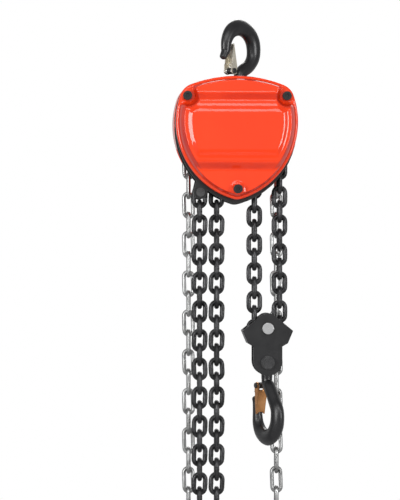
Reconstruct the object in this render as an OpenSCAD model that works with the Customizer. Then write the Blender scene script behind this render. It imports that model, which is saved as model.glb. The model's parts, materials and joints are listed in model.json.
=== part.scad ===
// Hand chain hoist, two falls of load chain, with a swivelling top hook and a bottom hook block.
// Origin: the bearing point in the bowl of the top hook. +Z up, -Y the gear side, +Y the hand wheel side.

/* [Load chain] */
// Wire diameter of the load chain
load_wire = 6; // [5:0.5:7]
// Inside length of one load chain link
load_pitch = 18; // [17:0.5:21]
// Outside width of one load chain link
load_link_w = 20; // [19:0.5:24]
// Pairs of links in the driven fall, from the load sheave to the idle sheave
fall_pairs = 7; // [6:1:12]
// Pairs of links in the slack strand below the load sheave
slack_pairs = 13; // [10:1:30]
// Distance from the slack strand to its end anchor
slack_loop_w = 21.3; // [21:0.5:30]

/* [Hand chain] */
// Wire diameter of the hand chain
hand_wire = 5; // [4:0.5:6]
// Inside length of one hand chain link
hand_pitch = 25; // [22:0.5:28]
// Outside width of one hand chain link
hand_link_w = 16; // [15:0.5:18]
// Pairs of links in each hanging strand of the hand chain
hand_drop_pairs = 9; // [7:1:40]

/* [Casing] */
// Width of the covers
cover_w = 152; // [150:1:184]
// Height of the covers' crown over the shaft axis
crown_h = 72; // [70:1:88]
// Radius of the bulging sides
side_r = 100; // [90:1:125]
// Height of the widest place over the shaft axis
widest_h = 15; // [5:1:20]
// Radius of the domed top
dome_r = 160; // [130:5:220]
// Radius of the two upper corners
corner_r = 22; // [18:1:26]
// Radius of the blunt point at the bottom
point_r = 16; // [10:1:22]
// Sheet thickness of the covers
sheet_t = 2; // [1.5:0.25:2.5]
// Depth of the gear cover in front of the side plate
gear_cover_d = 30; // [30:0.5:36]
// Depth of the hand wheel cover behind the side plate
wheel_cover_d = 50; // [50:0.5:60]
// Half height of the raised band that holds the gears
band_h = 34.5; // [34:0.5:40]

/* [Frame] */
// Thickness of each side plate
plate_t = 4; // [3:0.5:6]
// Clear distance between the side plates
plate_gap = 32; // [30:0.5:38]
// How far the side plates reach below the covers
plate_drop = 6; // [3:0.5:9]
// Height from the shaft axis to the bowl of the top hook
hook_h = 124; // [122:1:150]
// Distance of the top hook from the shaft axis, towards the falls
hook_offset = 4.5; // [0:0.5:8]
// Sideways distance of the two upper stay bolts from the shaft axis
stay_x = 61.7; // [58:0.5:66]
// Height of the two upper stay bolts over the shaft axis
stay_up = 47; // [40:0.5:52]
// Depth of the lower stay bolt under the shaft axis
stay_down = 68.6; // [67:0.5:72]

/* [Gears] */
// Distance from the shaft axis to each disc gear
gear_centre = 36; // [34:0.5:37]
// Teeth of the drive pinion and of the disc gear pinions
pinion_teeth = 12; // [12:2:12]
// Teeth of the disc gear wheels
wheel_teeth = 42; // [42:2:42]
// Teeth of the load gear
load_gear_teeth = 48; // [48:2:48]
// Radius of the drive shaft
drive_r = 6.5; // [5.5:0.25:7]

/* [Hooks] */
// Inside width of each hook's bowl
bowl_w = 36; // [30:1:44]
// Depth of the forged section under the load
hook_depth = 20.5; // [16:0.5:24]
// Thickness of the forged section under the load
hook_thick = 17; // [13:0.5:20]
// Diameter of the hook shanks
shank_d = 14; // [11:0.5:15]
// Length of the top hook's nose over its bearing point
top_nose = 30; // [28:1:40]
// Length of the bottom hook's nose over its bearing point
bottom_nose = 39; // [30:1:44]
// Turn of the top hook about its shank
top_hook_turn = 43; // [0:1:90]
// Turn of the bottom hook about its shank
bottom_hook_turn = -66; // [-90:1:0]

/* [Block] */
// Thickness of each block plate
block_plate_t = 3.5; // [3:0.5:5]
// Radius of the idle sheave's axle
axle_r = 3.8; // [3:0.1:4]
// Radius of the axle's silver head
axle_head_r = 7; // [6:0.25:9]
// Distance from the axle down to the swivel yoke
block_yoke_drop = 42.5; // [42:0.5:50]
// Distance from the swivel yoke down to the bearing point of the bottom hook
bottom_hook_drop = 84; // [80:1:100]

/* [Hidden] */
$fn = 48;

// Running clearance of shafts in their holes, and of links in each other
fit = 0.06;
link_play = 0.08;
// Gap between flat pieces that move past each other
air = 0.3;

// Frame: the shaft axis, and the faces of the side plates
cx = -hook_offset;
shaft_z = -hook_h;
plate_in = plate_gap / 2;
plate_out = plate_in + plate_t;

// Chains on their sheaves: a flat link spans pitch + wire, an upright link pitch - wire
load_flat = load_pitch + load_wire;
load_upright = load_pitch - load_wire - 2 * link_play;
load_pair = load_flat + load_upright;
hand_flat = hand_pitch + hand_wire;
hand_upright = hand_pitch - hand_wire - 2 * link_play;
hand_pair = hand_flat + hand_upright;
function polygon_r(a, b, n) = sqrt(a * a + b * b + 2 * a * b * cos(180 / n)) / (2 * sin(180 / n));
function chord_deg(c, r) = 2 * asin(c / 2 / r);
load_pockets = 4;
idle_pockets = 3;
hand_pockets = 7;
load_r = polygon_r(load_flat, load_upright, load_pockets);
idle_r = polygon_r(load_flat, load_upright, idle_pockets);
hand_r = polygon_r(hand_flat, hand_upright, hand_pockets);
// Strands, measured from the shaft axis
idle_reach = idle_r * cos(30);
idle_low = idle_r * sin(30);
driven_x = load_r;
block_x = driven_x + idle_reach;
anchored_x = block_x + idle_reach;
slack_x = -load_r;
slack_end_x = slack_x - slack_loop_w;
block_z = shaft_z - fall_pairs * load_pair + idle_low;
// Pairs of links that ride up with the block over its whole lift
lift_pairs = 3;
anchored_pairs = fall_pairs - 1;
slack_end_pairs = slack_pairs - 2;
hand_end_deg = (180 - 4 * chord_deg(hand_upright, hand_r) - 3 * chord_deg(hand_flat, hand_r)) / 2;
hand_strand_x = hand_r * cos(hand_end_deg);

// Chain end anchors: the pin stands in the last upright link
anchor_r = 3.5;
anchor_gap = 0.15;
anchor_up = (load_pitch + 2 * load_wire - load_link_w) / 2
    + sqrt(pow(load_link_w / 2 - load_wire, 2) - 0) - anchor_r - anchor_gap;
fall_anchor_z = shaft_z - fall_pairs * load_pair + anchored_pairs * load_pair
    - load_upright / 2 + anchor_up;
slack_turn_z = shaft_z - slack_pairs * load_pair - load_upright;
slack_anchor_z = slack_turn_z + slack_end_pairs * load_pair + load_upright / 2 + anchor_up;

// Rear stack along the drive shaft
hub_y = plate_out + 4;
hub_flange_t = 5;
friction_t = 2.5;
ratchet_t = 6;
hub_flange_r = 30;
hub_boss_r = 12;
friction_y = hub_y + hub_flange_t;
ratchet_y = friction_y + friction_t;
outer_friction_y = ratchet_y + ratchet_t;
hand_wheel_y = outer_friction_y + friction_t;
hand_wheel_w = 20;
hand_chain_y = hand_wheel_y + hand_wheel_w / 2;
hand_wheel_r = 62;
wheel_nut_t = 5.5;

// Front stack along the drive shaft
load_gear_y = -plate_out - 2.5;
load_gear_t = 9;
disc_wheel_y = -plate_out - 14.4;
disc_wheel_t = 6.6;
cover_in_y = -plate_out - gear_cover_d + sheet_t;
bearing_plate_t = 3.9;
bearing_y = cover_in_y + bearing_plate_t;
ear_d = 10;
step_d = 20;

// Journals and bearings
journal_r = 14;
bearing_r = 19;
disc_journal_r = 4.5;
drive_end_r = 4.5;
trunnion_r = 6;
stay_r = 4;
stay_shoulder_r = 6;

// Ratchet and pawls
ratchet_r = 36;
ratchet_depth = 4.5;
ratchet_teeth = 12;
pawl_pivot_r = 46;
pawl_stud_r = 3;
pawl_nose_deg = [100, 280];
pawl_lag_deg = 35;

// Yokes
yoke_z = -69;
yoke_h = 16;
yoke_w = 26;
shank_r = shank_d / 2;
hook_nut_h = 8.5;
hook_nut_r = 11.5;
top_shank_end = yoke_z - yoke_h / 2 - air - hook_nut_h - 0.7;
block_in = 13;
block_out = block_in + block_plate_t;
block_yoke_z = block_z - block_yoke_drop;
block_yoke_h = 12;
bottom_saddle_z = block_yoke_z - bottom_hook_drop;

// Hooks: stations of the forging in its own plane, origin at the bearing point, nose towards -X
bowl_r = bowl_w / 2;
lug_x = -16;
lug_over_nose = 15;
neck_over_lug = 5.5;
lug_r = 4;
lug_half_t = 3;
latch_half_w = 6.5;
latch_t = 1.4;

// Small parts
pin_r = 1.5;
latch_rivet_r = 2;

module rod_y(r, y0, y1) {
    translate([0, y0, 0]) rotate([-90, 0, 0]) cylinder(r = r, h = y1 - y0);
}

module slab(y0, y1) {
    translate([0, y1, 0]) rotate([90, 0, 0]) linear_extrude(y1 - y0) children();
}

module at_shaft() {
    translate([cx, 0, shaft_z]) children();
}

module at_block() {
    translate([cx + block_x, 0, block_z]) children();
}

// Points of an arc, its last point left to the arc that follows
function arc(c, r, a0, a1, n) = [for (i = [0:n - 1]) c + r * [cos(a0 + (a1 - a0) * i / n), sin(a0 + (a1 - a0) * i / n)]];

// Outline of the casing about the shaft axis, each arc grown outwards by g
side_c = [cover_w / 2 - side_r, widest_h];
dome_c = [0, crown_h - dome_r];
point_c = [0, widest_h - sqrt(pow(side_r - point_r, 2) - side_c[0] * side_c[0])];
function meet(c1, r1, c2, r2) =
    let (d = norm(c2 - c1), a = (r1 * r1 - r2 * r2 + d * d) / (2 * d), h = sqrt(r1 * r1 - a * a), u = (c2 - c1) / d)
    c1 + a * u + h * [-u[1], u[0]];
corner_c = meet(side_c, side_r - corner_r, dome_c, dome_r - corner_r);
function slope(p, q) = atan2(q[1] - p[1], q[0] - p[0]);
point_deg = slope(side_c, point_c);
side_deg = slope(side_c, corner_c);
dome_deg = slope(dome_c, corner_c);
function half_outline(g) = concat(
    arc(point_c, point_r + g, -90, point_deg, 4),
    arc(side_c, side_r + g, point_deg, side_deg, 14),
    arc(corner_c, corner_r + g, side_deg, dome_deg, 8),
    arc(dome_c, dome_r + g, dome_deg, 90, 6));
function outline(g) =
    let (h = half_outline(g), n = len(h))
    concat(h, [[0, dome_c[1] + dome_r + g]], [for (i = [n - 1:-1:1]) [-h[i][0], h[i][1]]]);

stays = [[-stay_x, stay_up], [stay_x, stay_up], [0, -stay_down]];
guide_pins = [[-driven_x - load_link_w / 2 - 4.5, -18], [driven_x + load_link_w / 2 + 4.5, -18]];
guide_pin_r = 3.5;
slack_anchor = [slack_end_x, slack_anchor_z - shaft_z];
fall_anchor = [anchored_x, fall_anchor_z - shaft_z];
stripper_z = -41;
stripper_tenon_r = 3;
pawl_pivots = [for (a = pawl_nose_deg) pawl_pivot_r * [cos(a - pawl_lag_deg), sin(a - pawl_lag_deg)]];

// One chain link: long axis along Z, lying in the XZ plane when upright
module link(pitch, wire, width) {
    bend = width / 2 - wire / 2;
    straight = (pitch + 2 * wire - width) / 2;
    for (s = [0, 180])
        rotate([0, s, 0]) {
            translate([0, 0, straight]) rotate([90, 0, 0])
                rotate_extrude(angle = 180, $fn = 32) translate([bend, 0]) circle(r = wire / 2, $fn = 24);
            translate([bend, 0, -straight]) cylinder(r = wire / 2, h = 2 * straight, $fn = 24);
        }
}

// A run of links along the points p, upright where upright_first says so
module chain_run(p, pitch, wire, width, upright_first) {
    for (i = [0:len(p) - 2]) {
        d = p[i + 1] - p[i];
        mid = (p[i + 1] + p[i]) / 2;
        is_upright = (i % 2 == 0) == upright_first;
        translate([mid[0], 0, mid[1]]) rotate([0, atan2(d[0], d[1]), 0])
            rotate([0, 0, is_upright ? 0 : 90]) link(pitch, wire, width);
    }
}

// Points of a straight strand from p, going up (s = 1) or down (s = -1), over n links
function strand(p, s, n, first, second) =
    [for (i = [0:n]) p + [0, s * (ceil(i / 2) * first + floor(i / 2) * second)]];

// Points of a wrap on a circle from angle a0, with alternating chords
function wrap(c, r, a0, s, n, first, second) =
    [for (i = [0:n]) let (a = a0 + s * (ceil(i / 2) * chord_deg(first, r) + floor(i / 2) * chord_deg(second, r)))
        c + r * [cos(a), sin(a)]];

module load_run(p, upright_first) {
    chain_run(p, load_pitch, load_wire, load_link_w, upright_first);
}

// Gear outline with involute flanks: n teeth on pitch radius r, one tooth at angle a0
pressure_deg = 25;
addendum_share = 0.85;
dedendum_share = 1.15;
backlash = 0.1;
function roll_deg(r, base) = r <= base ? 0 : let (t = sqrt(pow(r / base, 2) - 1)) t * 180 / PI - atan(t);
function gear_points(n, r, a0) =
    let (
        m = 2 * r / n,
        base = r * cos(pressure_deg),
        tip = r + addendum_share * m,
        root = r - dedendum_share * m,
        half = 90 / n - backlash / r * 180 / PI + roll_deg(r, base),
        steps = [root, max(base, root + 0.1), r, tip])
    [for (k = [0:n - 1], side = [-1, 1], j = [0:3])
        let (q = side < 0 ? steps[j] : steps[3 - j], a = a0 + k * 360 / n + side * (half - roll_deg(q, base)))
        q * [cos(a), sin(a)]];

drive_pinion_r = gear_centre * pinion_teeth / (pinion_teeth + wheel_teeth);
disc_wheel_r = gear_centre - drive_pinion_r;
disc_pinion_r = gear_centre * pinion_teeth / (pinion_teeth + load_gear_teeth);
load_gear_r = gear_centre - disc_pinion_r;

// ---------- hooks ----------

// Centre line of a forged hook: [x, z, width in the plane, thickness]
function on_bowl(a, w, t) = [(bowl_r + w / 2) * cos(a), bowl_r + (bowl_r + w / 2) * sin(a), w, t];
function lug_z(nose) = nose + lug_over_nose;
function hook_stations(nose) = let (neck_z = lug_z(nose) + neck_over_lug) [
    [0, neck_z + 3, shank_d - 0.5, shank_d - 0.5],
    [1.2, neck_z - 2, shank_d + 0.5, shank_d - 0.3],
    [7, neck_z - 7, hook_depth - 4, hook_thick - 2.5],
    on_bowl(44, hook_depth - 3.5, hook_thick - 2),
    on_bowl(12, hook_depth - 1.5, hook_thick - 1),
    on_bowl(-25, hook_depth - 0.3, hook_thick),
    on_bowl(-58, hook_depth, hook_thick),
    on_bowl(-90, hook_depth, hook_thick),
    on_bowl(-122, hook_depth - 2, hook_thick - 1),
    on_bowl(-152, hook_depth - 5.5, hook_thick - 3),
    [-bowl_r - 6.3, bowl_r + 1, hook_depth - 8, hook_thick - 5],
    [-bowl_r - 8.2, nose - 7, hook_depth - 10.5, hook_thick - 6.5],
    [-bowl_r - 11.5, nose - 1.5, hook_depth - 12.3, hook_thick - 8],
    [-bowl_r - 12.6, nose, hook_depth - 17, hook_thick - 13],
];
function smooth(a, b, c, d, t) =
    (2 * b + (c - a) * t + (2 * a - 5 * b + 4 * c - d) * t * t + (3 * b - a - 3 * c + d) * t * t * t) / 2;
ring_steps = 3;
ring_sides = 16;
function along(s, i) =
    let (n = len(s) - 1, k = min(floor(i / ring_steps), n - 1), t = i / ring_steps - k)
    smooth(s[max(k - 1, 0)], s[k], s[k + 1], s[min(k + 2, n)], t);
function hook_ring(s, i, count) =
    let (
        p = along(s, i),
        q = along(s, min(i + 0.5, count)) - along(s, max(i - 0.5, 0)),
        u = [q[0], q[1]] / norm([q[0], q[1]]))
    [for (j = [0:ring_sides - 1])
        let (a = 360 * j / ring_sides, across = p[2] / 2 * cos(a))
        [p[0] - u[1] * across, p[3] / 2 * sin(a), p[1] + u[0] * across]];

module hook_forging(nose) {
    s = hook_stations(nose);
    count = (len(s) - 1) * ring_steps;
    last = count * ring_sides;
    points = [for (i = [0:count]) each hook_ring(s, i, count)];
    faces = concat(
        [[for (j = [ring_sides - 1:-1:0]) j]],
        [[for (j = [0:ring_sides - 1]) last + j]],
        [for (i = [0:count - 1], j = [0:ring_sides - 1])
            let (a = i * ring_sides + j, b = i * ring_sides + (j + 1) % ring_sides)
            [a, b, b + ring_sides, a + ring_sides]]);
    polyhedron(points, faces);
}

// Whole hook, shank upwards to the height top
module hook(nose, top) {
    lug_z = lug_z(nose);
    neck_z = lug_z + neck_over_lug;
    difference() {
        union() {
            hook_forging(nose);
            translate([0, 0, neck_z]) cylinder(r = shank_r, h = top - neck_z);
            translate([lug_x, 0, lug_z]) rod_y(lug_r, -lug_half_t, lug_half_t);
            translate([lug_x, -lug_half_t, lug_z - 2]) cube([-lug_x - 2, 2 * lug_half_t, 2 + lug_r]);
        }
        translate([lug_x, 0, lug_z]) rod_y(latch_rivet_r + fit, -lug_half_t - 1, lug_half_t + 1);
        translate([0, 0, top - hook_nut_h / 2]) rotate([0, 90, 0])
            cylinder(r = pin_r + fit, h = shank_d + 2, center = true);
    }
}

// Pressed latch: a channel from the lug to the inside of the nose
module latch(nose) {
    lug_z = lug_z(nose);
    latch_low = min(nose - 19, bowl_r);
    latch_high = lug_z - 10;
    latch_low_x = -sqrt(bowl_r * bowl_r - pow(bowl_r - latch_low, 2)) + 0.9;
    latch_high_x = lug_x + 6.4;
    difference() {
        union() {
            slab(-latch_half_w, latch_half_w)
                polygon([[latch_high_x, latch_high], [latch_high_x + latch_t, latch_high],
                    [latch_low_x + latch_t, latch_low], [latch_low_x, latch_low]]);
            for (s = [0, 1])
                mirror([0, s, 0]) slab(-latch_half_w, latch_t - latch_half_w)
                    polygon([[latch_low_x + 1.2, latch_low + 9], [latch_high_x + latch_t, latch_high],
                        [lug_x + 4.8, lug_z + 1.6], [lug_x + 2, lug_z + 3.6], [lug_x - 2.6, lug_z + 3.6],
                        [lug_x - 4.6, lug_z + 1], [lug_x - 4.4, lug_z - 12]]);
        }
        translate([lug_x, 0, lug_z]) rod_y(latch_rivet_r + fit, -latch_half_w - 1, latch_half_w + 1);
    }
}

module latch_rivet(nose) {
    head = 1.6;
    translate([lug_x, 0, lug_z(nose)]) {
        rod_y(latch_rivet_r, -latch_half_w - head, latch_half_w + head);
        for (s = [0, 1])
            mirror([0, s, 0]) rod_y(latch_rivet_r + 1.5, -latch_half_w - head, -latch_half_w - air / 2);
    }
}

// Torsion spring: two coils each side of the lug, and a leg that pushes on the latch
module latch_spring(nose) {
    lug_z = lug_z(nose);
    wire = 0.35;
    coil = latch_rivet_r + 0.9;
    for (s = [0, 1], k = [0, 1])
        mirror([0, s, 0]) translate([lug_x, -lug_half_t - 0.5 - k * 0.85, lug_z]) rotate([90, 0, 0])
            rotate_extrude($fn = 24) translate([coil, 0]) circle(r = wire, $fn = 16);
    for (s = [0, 1])
        mirror([0, s, 0]) translate([lug_x + coil, -lug_half_t - 0.5, lug_z - 10]) cylinder(r = wire, h = 10, $fn = 16);
}

module round_nut(height, bore_r, outer_r) {
    difference() {
        cylinder(r = outer_r, h = height);
        translate([0, 0, -1]) cylinder(r = bore_r, h = height + 2);
        translate([0, 0, height / 2]) rotate([0, 90, 0]) cylinder(r = pin_r + fit, h = 3 * outer_r, center = true);
    }
}

module place_top_hook() {
    rotate([0, 0, top_hook_turn]) rotate([180, 0, 0]) children();
}

module place_bottom_hook() {
    translate([cx + block_x, 0, bottom_saddle_z]) rotate([0, 0, bottom_hook_turn]) children();
}

module top_hook() {
    color("dimgray") place_top_hook() hook(top_nose, -top_shank_end);
}

module top_hook_nut() {
    color("gray") place_top_hook() translate([0, 0, -top_shank_end - hook_nut_h])
        round_nut(hook_nut_h, shank_r + fit, hook_nut_r);
}

module top_hook_pin() {
    color("silver") place_top_hook() translate([0, 0, -top_shank_end - hook_nut_h / 2]) rotate([0, 90, 0])
        cylinder(r = pin_r, h = 2 * hook_nut_r, center = true);
}

module top_latch() {
    color("tan") place_top_hook() latch(top_nose);
}

module top_latch_rivet() {
    color("dimgray") place_top_hook() latch_rivet(top_nose);
}

module top_latch_spring() {
    color("silver") place_top_hook() latch_spring(top_nose);
}

module top_yoke() {
    color("gray") difference() {
        union() {
            translate([-yoke_w / 2, -plate_in + air, yoke_z - yoke_h / 2])
                cube([yoke_w, plate_gap - 2 * air, yoke_h]);
            translate([0, 0, yoke_z]) rod_y(trunnion_r, -plate_out, plate_out);
        }
        translate([0, 0, yoke_z - yoke_h]) cylinder(r = shank_r + fit, h = 2 * yoke_h);
    }
}

// ---------- frame ----------

module plate_outline() {
    ear_r = 8.5;
    polygon(outline(-0.5));
    translate([0, -plate_drop]) polygon(outline(-0.5));
    translate(slack_anchor) circle(r = ear_r);
    polygon([slack_anchor + [-ear_r, 0], slack_anchor + [ear_r, 0], slack_anchor + [ear_r + 4, 26],
        slack_anchor + [-ear_r + 6, 26]]);
}

module side_plate(y0) {
    difference() {
        at_shaft() difference() {
            slab(y0, y0 + plate_t) plate_outline();
            rod_y(bearing_r, y0 - 1, y0 + plate_t + 1);
            for (p = stays) translate([p[0], 0, p[1]]) rod_y(stay_r + fit, y0 - 1, y0 + plate_t + 1);
            for (p = guide_pins) translate([p[0], 0, p[1]]) rod_y(guide_pin_r + fit, y0 - 1, y0 + plate_t + 1);
            for (p = [slack_anchor, fall_anchor])
                translate([p[0], 0, p[1]]) rod_y(anchor_r + fit, y0 - 1, y0 + plate_t + 1);
            translate([0, 0, stripper_z]) rod_y(stripper_tenon_r + fit, y0 - 1, y0 + plate_t + 1);
        }
        translate([0, 0, yoke_z]) rod_y(trunnion_r + fit, y0 - 1, y0 + plate_t + 1);
    }
}

module front_plate() {
    color("dimgray") difference() {
        side_plate(-plate_out);
        at_shaft() for (s = [-1, 1])
            translate([s * gear_centre, 0, 0]) rod_y(disc_journal_r + fit, -plate_out - 1, -plate_in + 1);
    }
}

module rear_plate() {
    color("dimgray") difference() {
        side_plate(plate_in);
        at_shaft() for (p = pawl_pivots)
            translate([p[0], 0, p[1]]) rod_y(pawl_stud_r + fit, plate_in - 1, plate_out + 1);
    }
}

// Front ends of the stays: the upper two stand on the ears, the lower one on the middle step
function stay_front(i) = -plate_out - (i < 2 ? ear_d : step_d);
wheel_cover_y = plate_out + wheel_cover_d;
nut_h = 6;
nut_grip = 4;

module stay_bolts() {
    color("dimgray") at_shaft() for (i = [0:2])
        translate([stays[i][0], 0, stays[i][1]]) {
            rod_y(stay_r, stay_front(i) - nut_grip + 0.2, wheel_cover_y + nut_grip - 0.2);
            rod_y(stay_shoulder_r, -plate_in, plate_in);
            rod_y(stay_shoulder_r, plate_out, wheel_cover_y - wheel_cover_step - sheet_t - air);
            rod_y(stay_shoulder_r, stay_front(i) + sheet_t, -plate_out);
        }
}

// Cap nut with a socket in its round head
module cap_nut() {
    difference() {
        cylinder(r = 5.6, h = nut_h);
        translate([0, 0, -1]) cylinder(r = stay_r + fit, h = nut_grip + 1);
        translate([0, 0, nut_h - 1.6]) cylinder(r = 2.9, h = 2, $fn = 6);
    }
}

module front_cover_nuts() {
    color("black") at_shaft() for (i = [0:2])
        translate([stays[i][0], stay_front(i), stays[i][1]]) rotate([90, 0, 0]) cap_nut();
}

module rear_cover_nuts() {
    color("black") at_shaft() for (i = [0:2])
        translate([stays[i][0], wheel_cover_y, stays[i][1]]) rotate([-90, 0, 0]) cap_nut();
}

// The three levels of the gear cover, each drawn in by w and set back by w
ear_recess_r = 15;
module gear_cover_levels(w) {
    y0 = -plate_out;
    slab(y0 - ear_d + w, y0 + w) polygon(outline(-w));
    slab(y0 - step_d + w, y0 + w) difference() {
        polygon(outline(-4 - w));
        for (i = [0, 1]) translate(stays[i]) circle(r = ear_recess_r + w);
    }
    slab(y0 - gear_cover_d + w, y0 + w) intersection() {
        polygon(outline(-6 - w));
        translate([-cover_w, -band_h + w]) square([2 * cover_w, 2 * (band_h - w)]);
    }
}

module gear_cover() {
    color("orangered") at_shaft() difference() {
        intersection() {
            gear_cover_levels(0);
            translate([-cover_w, -plate_out - 2 * gear_cover_d, -cover_w])
                cube([2 * cover_w, 2 * gear_cover_d, 2 * cover_w]);
        }
        gear_cover_levels(sheet_t);
        for (i = [0:2])
            translate([stays[i][0], 0, stays[i][1]]) rod_y(stay_r + 0.3, -plate_out - gear_cover_d, -plate_out);
    }
}

wheel_cover_step = 8;
module wheel_cover_levels(w) {
    slab(plate_out - w, wheel_cover_y - wheel_cover_step - w) polygon(outline(-w));
    slab(plate_out - w, wheel_cover_y - w) polygon(outline(-2 - w));
}

module hand_wheel_cover() {
    slot_w = hand_link_w + 5;
    slot_in = hand_strand_x - hand_link_w / 2 - 2;
    color("orangered") at_shaft() difference() {
        intersection() {
            wheel_cover_levels(0);
            translate([-cover_w, plate_out, -cover_w]) cube([2 * cover_w, 2 * wheel_cover_d, 2 * cover_w]);
        }
        wheel_cover_levels(sheet_t);
        for (i = [0:2])
            translate([stays[i][0], 0, stays[i][1]]) rod_y(stay_r + 0.3, plate_out, wheel_cover_y + 1);
        for (s = [0, 1])
            mirror([s, 0, 0]) translate([slot_in, hand_chain_y - slot_w / 2, -66]) cube([40, slot_w, 50]);
    }
}

module bearing_plate() {
    color("gray") at_shaft() difference() {
        union() {
            for (s = [-1, 1]) translate([s * gear_centre, 0, 0]) rod_y(12, cover_in_y, bearing_y);
            translate([-gear_centre, cover_in_y, -9]) cube([2 * gear_centre, bearing_plate_t, 18]);
        }
        for (s = [-1, 1])
            translate([s * gear_centre, 0, 0]) rod_y(disc_journal_r + fit, cover_in_y - 1, bearing_y + 1);
        rod_y(drive_end_r + fit, cover_in_y - 1, bearing_y + 1);
    }
}

// Roller bearing: an outer ring in the side plate, and rollers that run on the sheave's journal
module load_bearing(y0) {
    ring_t = 2;
    roller_r = (bearing_r - ring_t - journal_r) / 2 - fit;
    rollers = 16;
    length = plate_t + 1.5;
    color("lightgray") at_shaft() {
        difference() {
            rod_y(bearing_r, y0, y0 + length);
            rod_y(bearing_r - ring_t, y0 - 1, y0 + length + 1);
        }
        for (k = [0:rollers - 1])
            rotate([0, 360 * k / rollers, 0]) translate([journal_r + fit + roller_r, 0, 0])
                rod_y(roller_r, y0 + 0.5, y0 + length - 0.5);
    }
}

module front_load_bearing() {
    load_bearing(-plate_out);
}

module rear_load_bearing() {
    load_bearing(plate_in - 1.5);
}

// Stripper: a block under the sheave whose finger runs in the sheave's middle groove
module chain_stripper() {
    color("gray") at_shaft() {
        translate([-6, -plate_in, stripper_z - 6]) cube([12, plate_gap, 15]);
        translate([-4, -groove_half_w + 0.8, stripper_z]) cube([8, 2 * groove_half_w - 1.6, -stripper_z - groove_r - 1]);
        translate([0, 0, stripper_z]) rod_y(stripper_tenon_r, -plate_out, plate_out);
    }
}

module chain_guide_pins() {
    color("gray") at_shaft() for (p = guide_pins)
        translate([p[0], 0, p[1]]) {
            rod_y(guide_pin_r, -plate_out, plate_out);
            rod_y(guide_pin_r + 0.8, -plate_in + air, plate_in - air);
        }
}

module slack_anchor_pin() {
    color("silver") at_shaft() translate([slack_anchor[0], 0, slack_anchor[1]]) difference() {
        union() {
            rod_y(anchor_r, -plate_out, plate_out + 6);
            rod_y(anchor_r + 2, -plate_out - 2.2, -plate_out);
        }
        translate([0, plate_out + 3, 0]) cylinder(r = 0.8, h = 20, center = true);
    }
}

module slack_anchor_split_pin() {
    color("silver") at_shaft() translate([slack_anchor[0], plate_out + 3, slack_anchor[1]]) {
        cylinder(r = 0.7, h = 15, center = true);
        translate([0, 0, 8.6]) rotate([90, 0, 0]) rotate_extrude($fn = 24) translate([1.6, 0]) circle(r = 0.7, $fn = 16);
    }
}

module fall_anchor_pin() {
    color("silver") at_shaft() translate([fall_anchor[0], 0, fall_anchor[1]]) rod_y(anchor_r, -plate_out, plate_out);
}

// ---------- load sheave and gears ----------

// Room at each end of a flat link in its pocket
pocket_play = 2.2;
sheave_half_w = load_link_w / 2 + 3;
groove_half_w = load_wire / 2 + 0.6;
groove_r = load_r * cos(chord_deg(load_upright, load_r) / 2) - load_link_w / 2 - 0.6;
pocket_floor = load_r * cos(chord_deg(load_flat, load_r) / 2) - load_wire / 2 - air;
sheave_r = load_r + load_wire / 2 + 1.3;
// The first flat link over the top stands past one upright link
load_pocket_deg = chord_deg(load_upright, load_r) + chord_deg(load_flat, load_r) / 2;
load_hub_y = load_gear_y - load_gear_t - 2.1;
load_hub_r = 12;

module load_sheave() {
    color("gray") at_shaft() difference() {
        union() {
            rod_y(sheave_r, -sheave_half_w, sheave_half_w);
            rod_y(journal_r, -plate_out - 2, plate_out + 2);
            rod_y(load_hub_r, load_hub_y, 0);
        }
        rod_y(drive_r + fit, load_hub_y - 1, plate_out + 3);
        difference() {
            rod_y(sheave_r + 1, -groove_half_w, groove_half_w);
            rod_y(groove_r, -groove_half_w - 1, groove_half_w + 1);
        }
        for (k = [0:load_pockets - 1])
            rotate([0, -load_pocket_deg - k * 360 / load_pockets, 0])
                translate([pocket_floor, -load_link_w / 2 - 0.5, -load_flat / 2 - load_wire / 2 - pocket_play])
                    cube([sheave_r, load_link_w + 1, load_flat + load_wire + 2 * pocket_play]);
        rod_y_groove(load_hub_r, load_gear_y - load_gear_t - 1.2, 1);
    }
}

// A ring groove cut in a shaft, w wide, for a clip
module rod_y_groove(r, y0, w) {
    difference() {
        rod_y(r + 1, y0, y0 + w);
        rod_y(r - 1, y0 - 1, y0 + w + 1);
    }
}

module load_gear() {
    color("silver") at_shaft() difference() {
        slab(load_gear_y - load_gear_t, load_gear_y) polygon(gear_points(load_gear_teeth, load_gear_r, 0));
        rod_y(load_hub_r + fit, load_gear_y - load_gear_t - 1, load_gear_y + 1);
    }
}

module load_gear_clip() {
    color("gray") at_shaft() difference() {
        rod_y(load_hub_r + 1.5, load_gear_y - load_gear_t - 1.1, load_gear_y - load_gear_t - 0.3);
        rod_y(load_hub_r - 0.9, load_gear_y - load_gear_t - 2, load_gear_y);
        translate([-2, load_gear_y - load_gear_t - 2, 0]) cube([4, 3, load_hub_r + 3]);
    }
}

// Disc gear: a wheel on the drive pinion, and a pinion on the load gear, on one shaft
module disc_gear(s) {
    gap_deg = s > 0 ? 180 : 0;
    color("silver") at_shaft() translate([s * gear_centre, 0, 0]) {
        slab(disc_wheel_y - disc_wheel_t, disc_wheel_y)
            polygon(gear_points(wheel_teeth, disc_wheel_r, gap_deg + 180 / wheel_teeth));
        slab(disc_wheel_y, -plate_out - 1)
            polygon(gear_points(pinion_teeth, disc_pinion_r, gap_deg + 180 / pinion_teeth));
        rod_y(disc_journal_r, cover_in_y + 0.5, -plate_in);
    }
}

module left_disc_gear() {
    disc_gear(-1);
}

module right_disc_gear() {
    disc_gear(1);
}

drive_thread_end = hand_wheel_y + hand_wheel_w + wheel_nut_t + 1.2;

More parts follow.
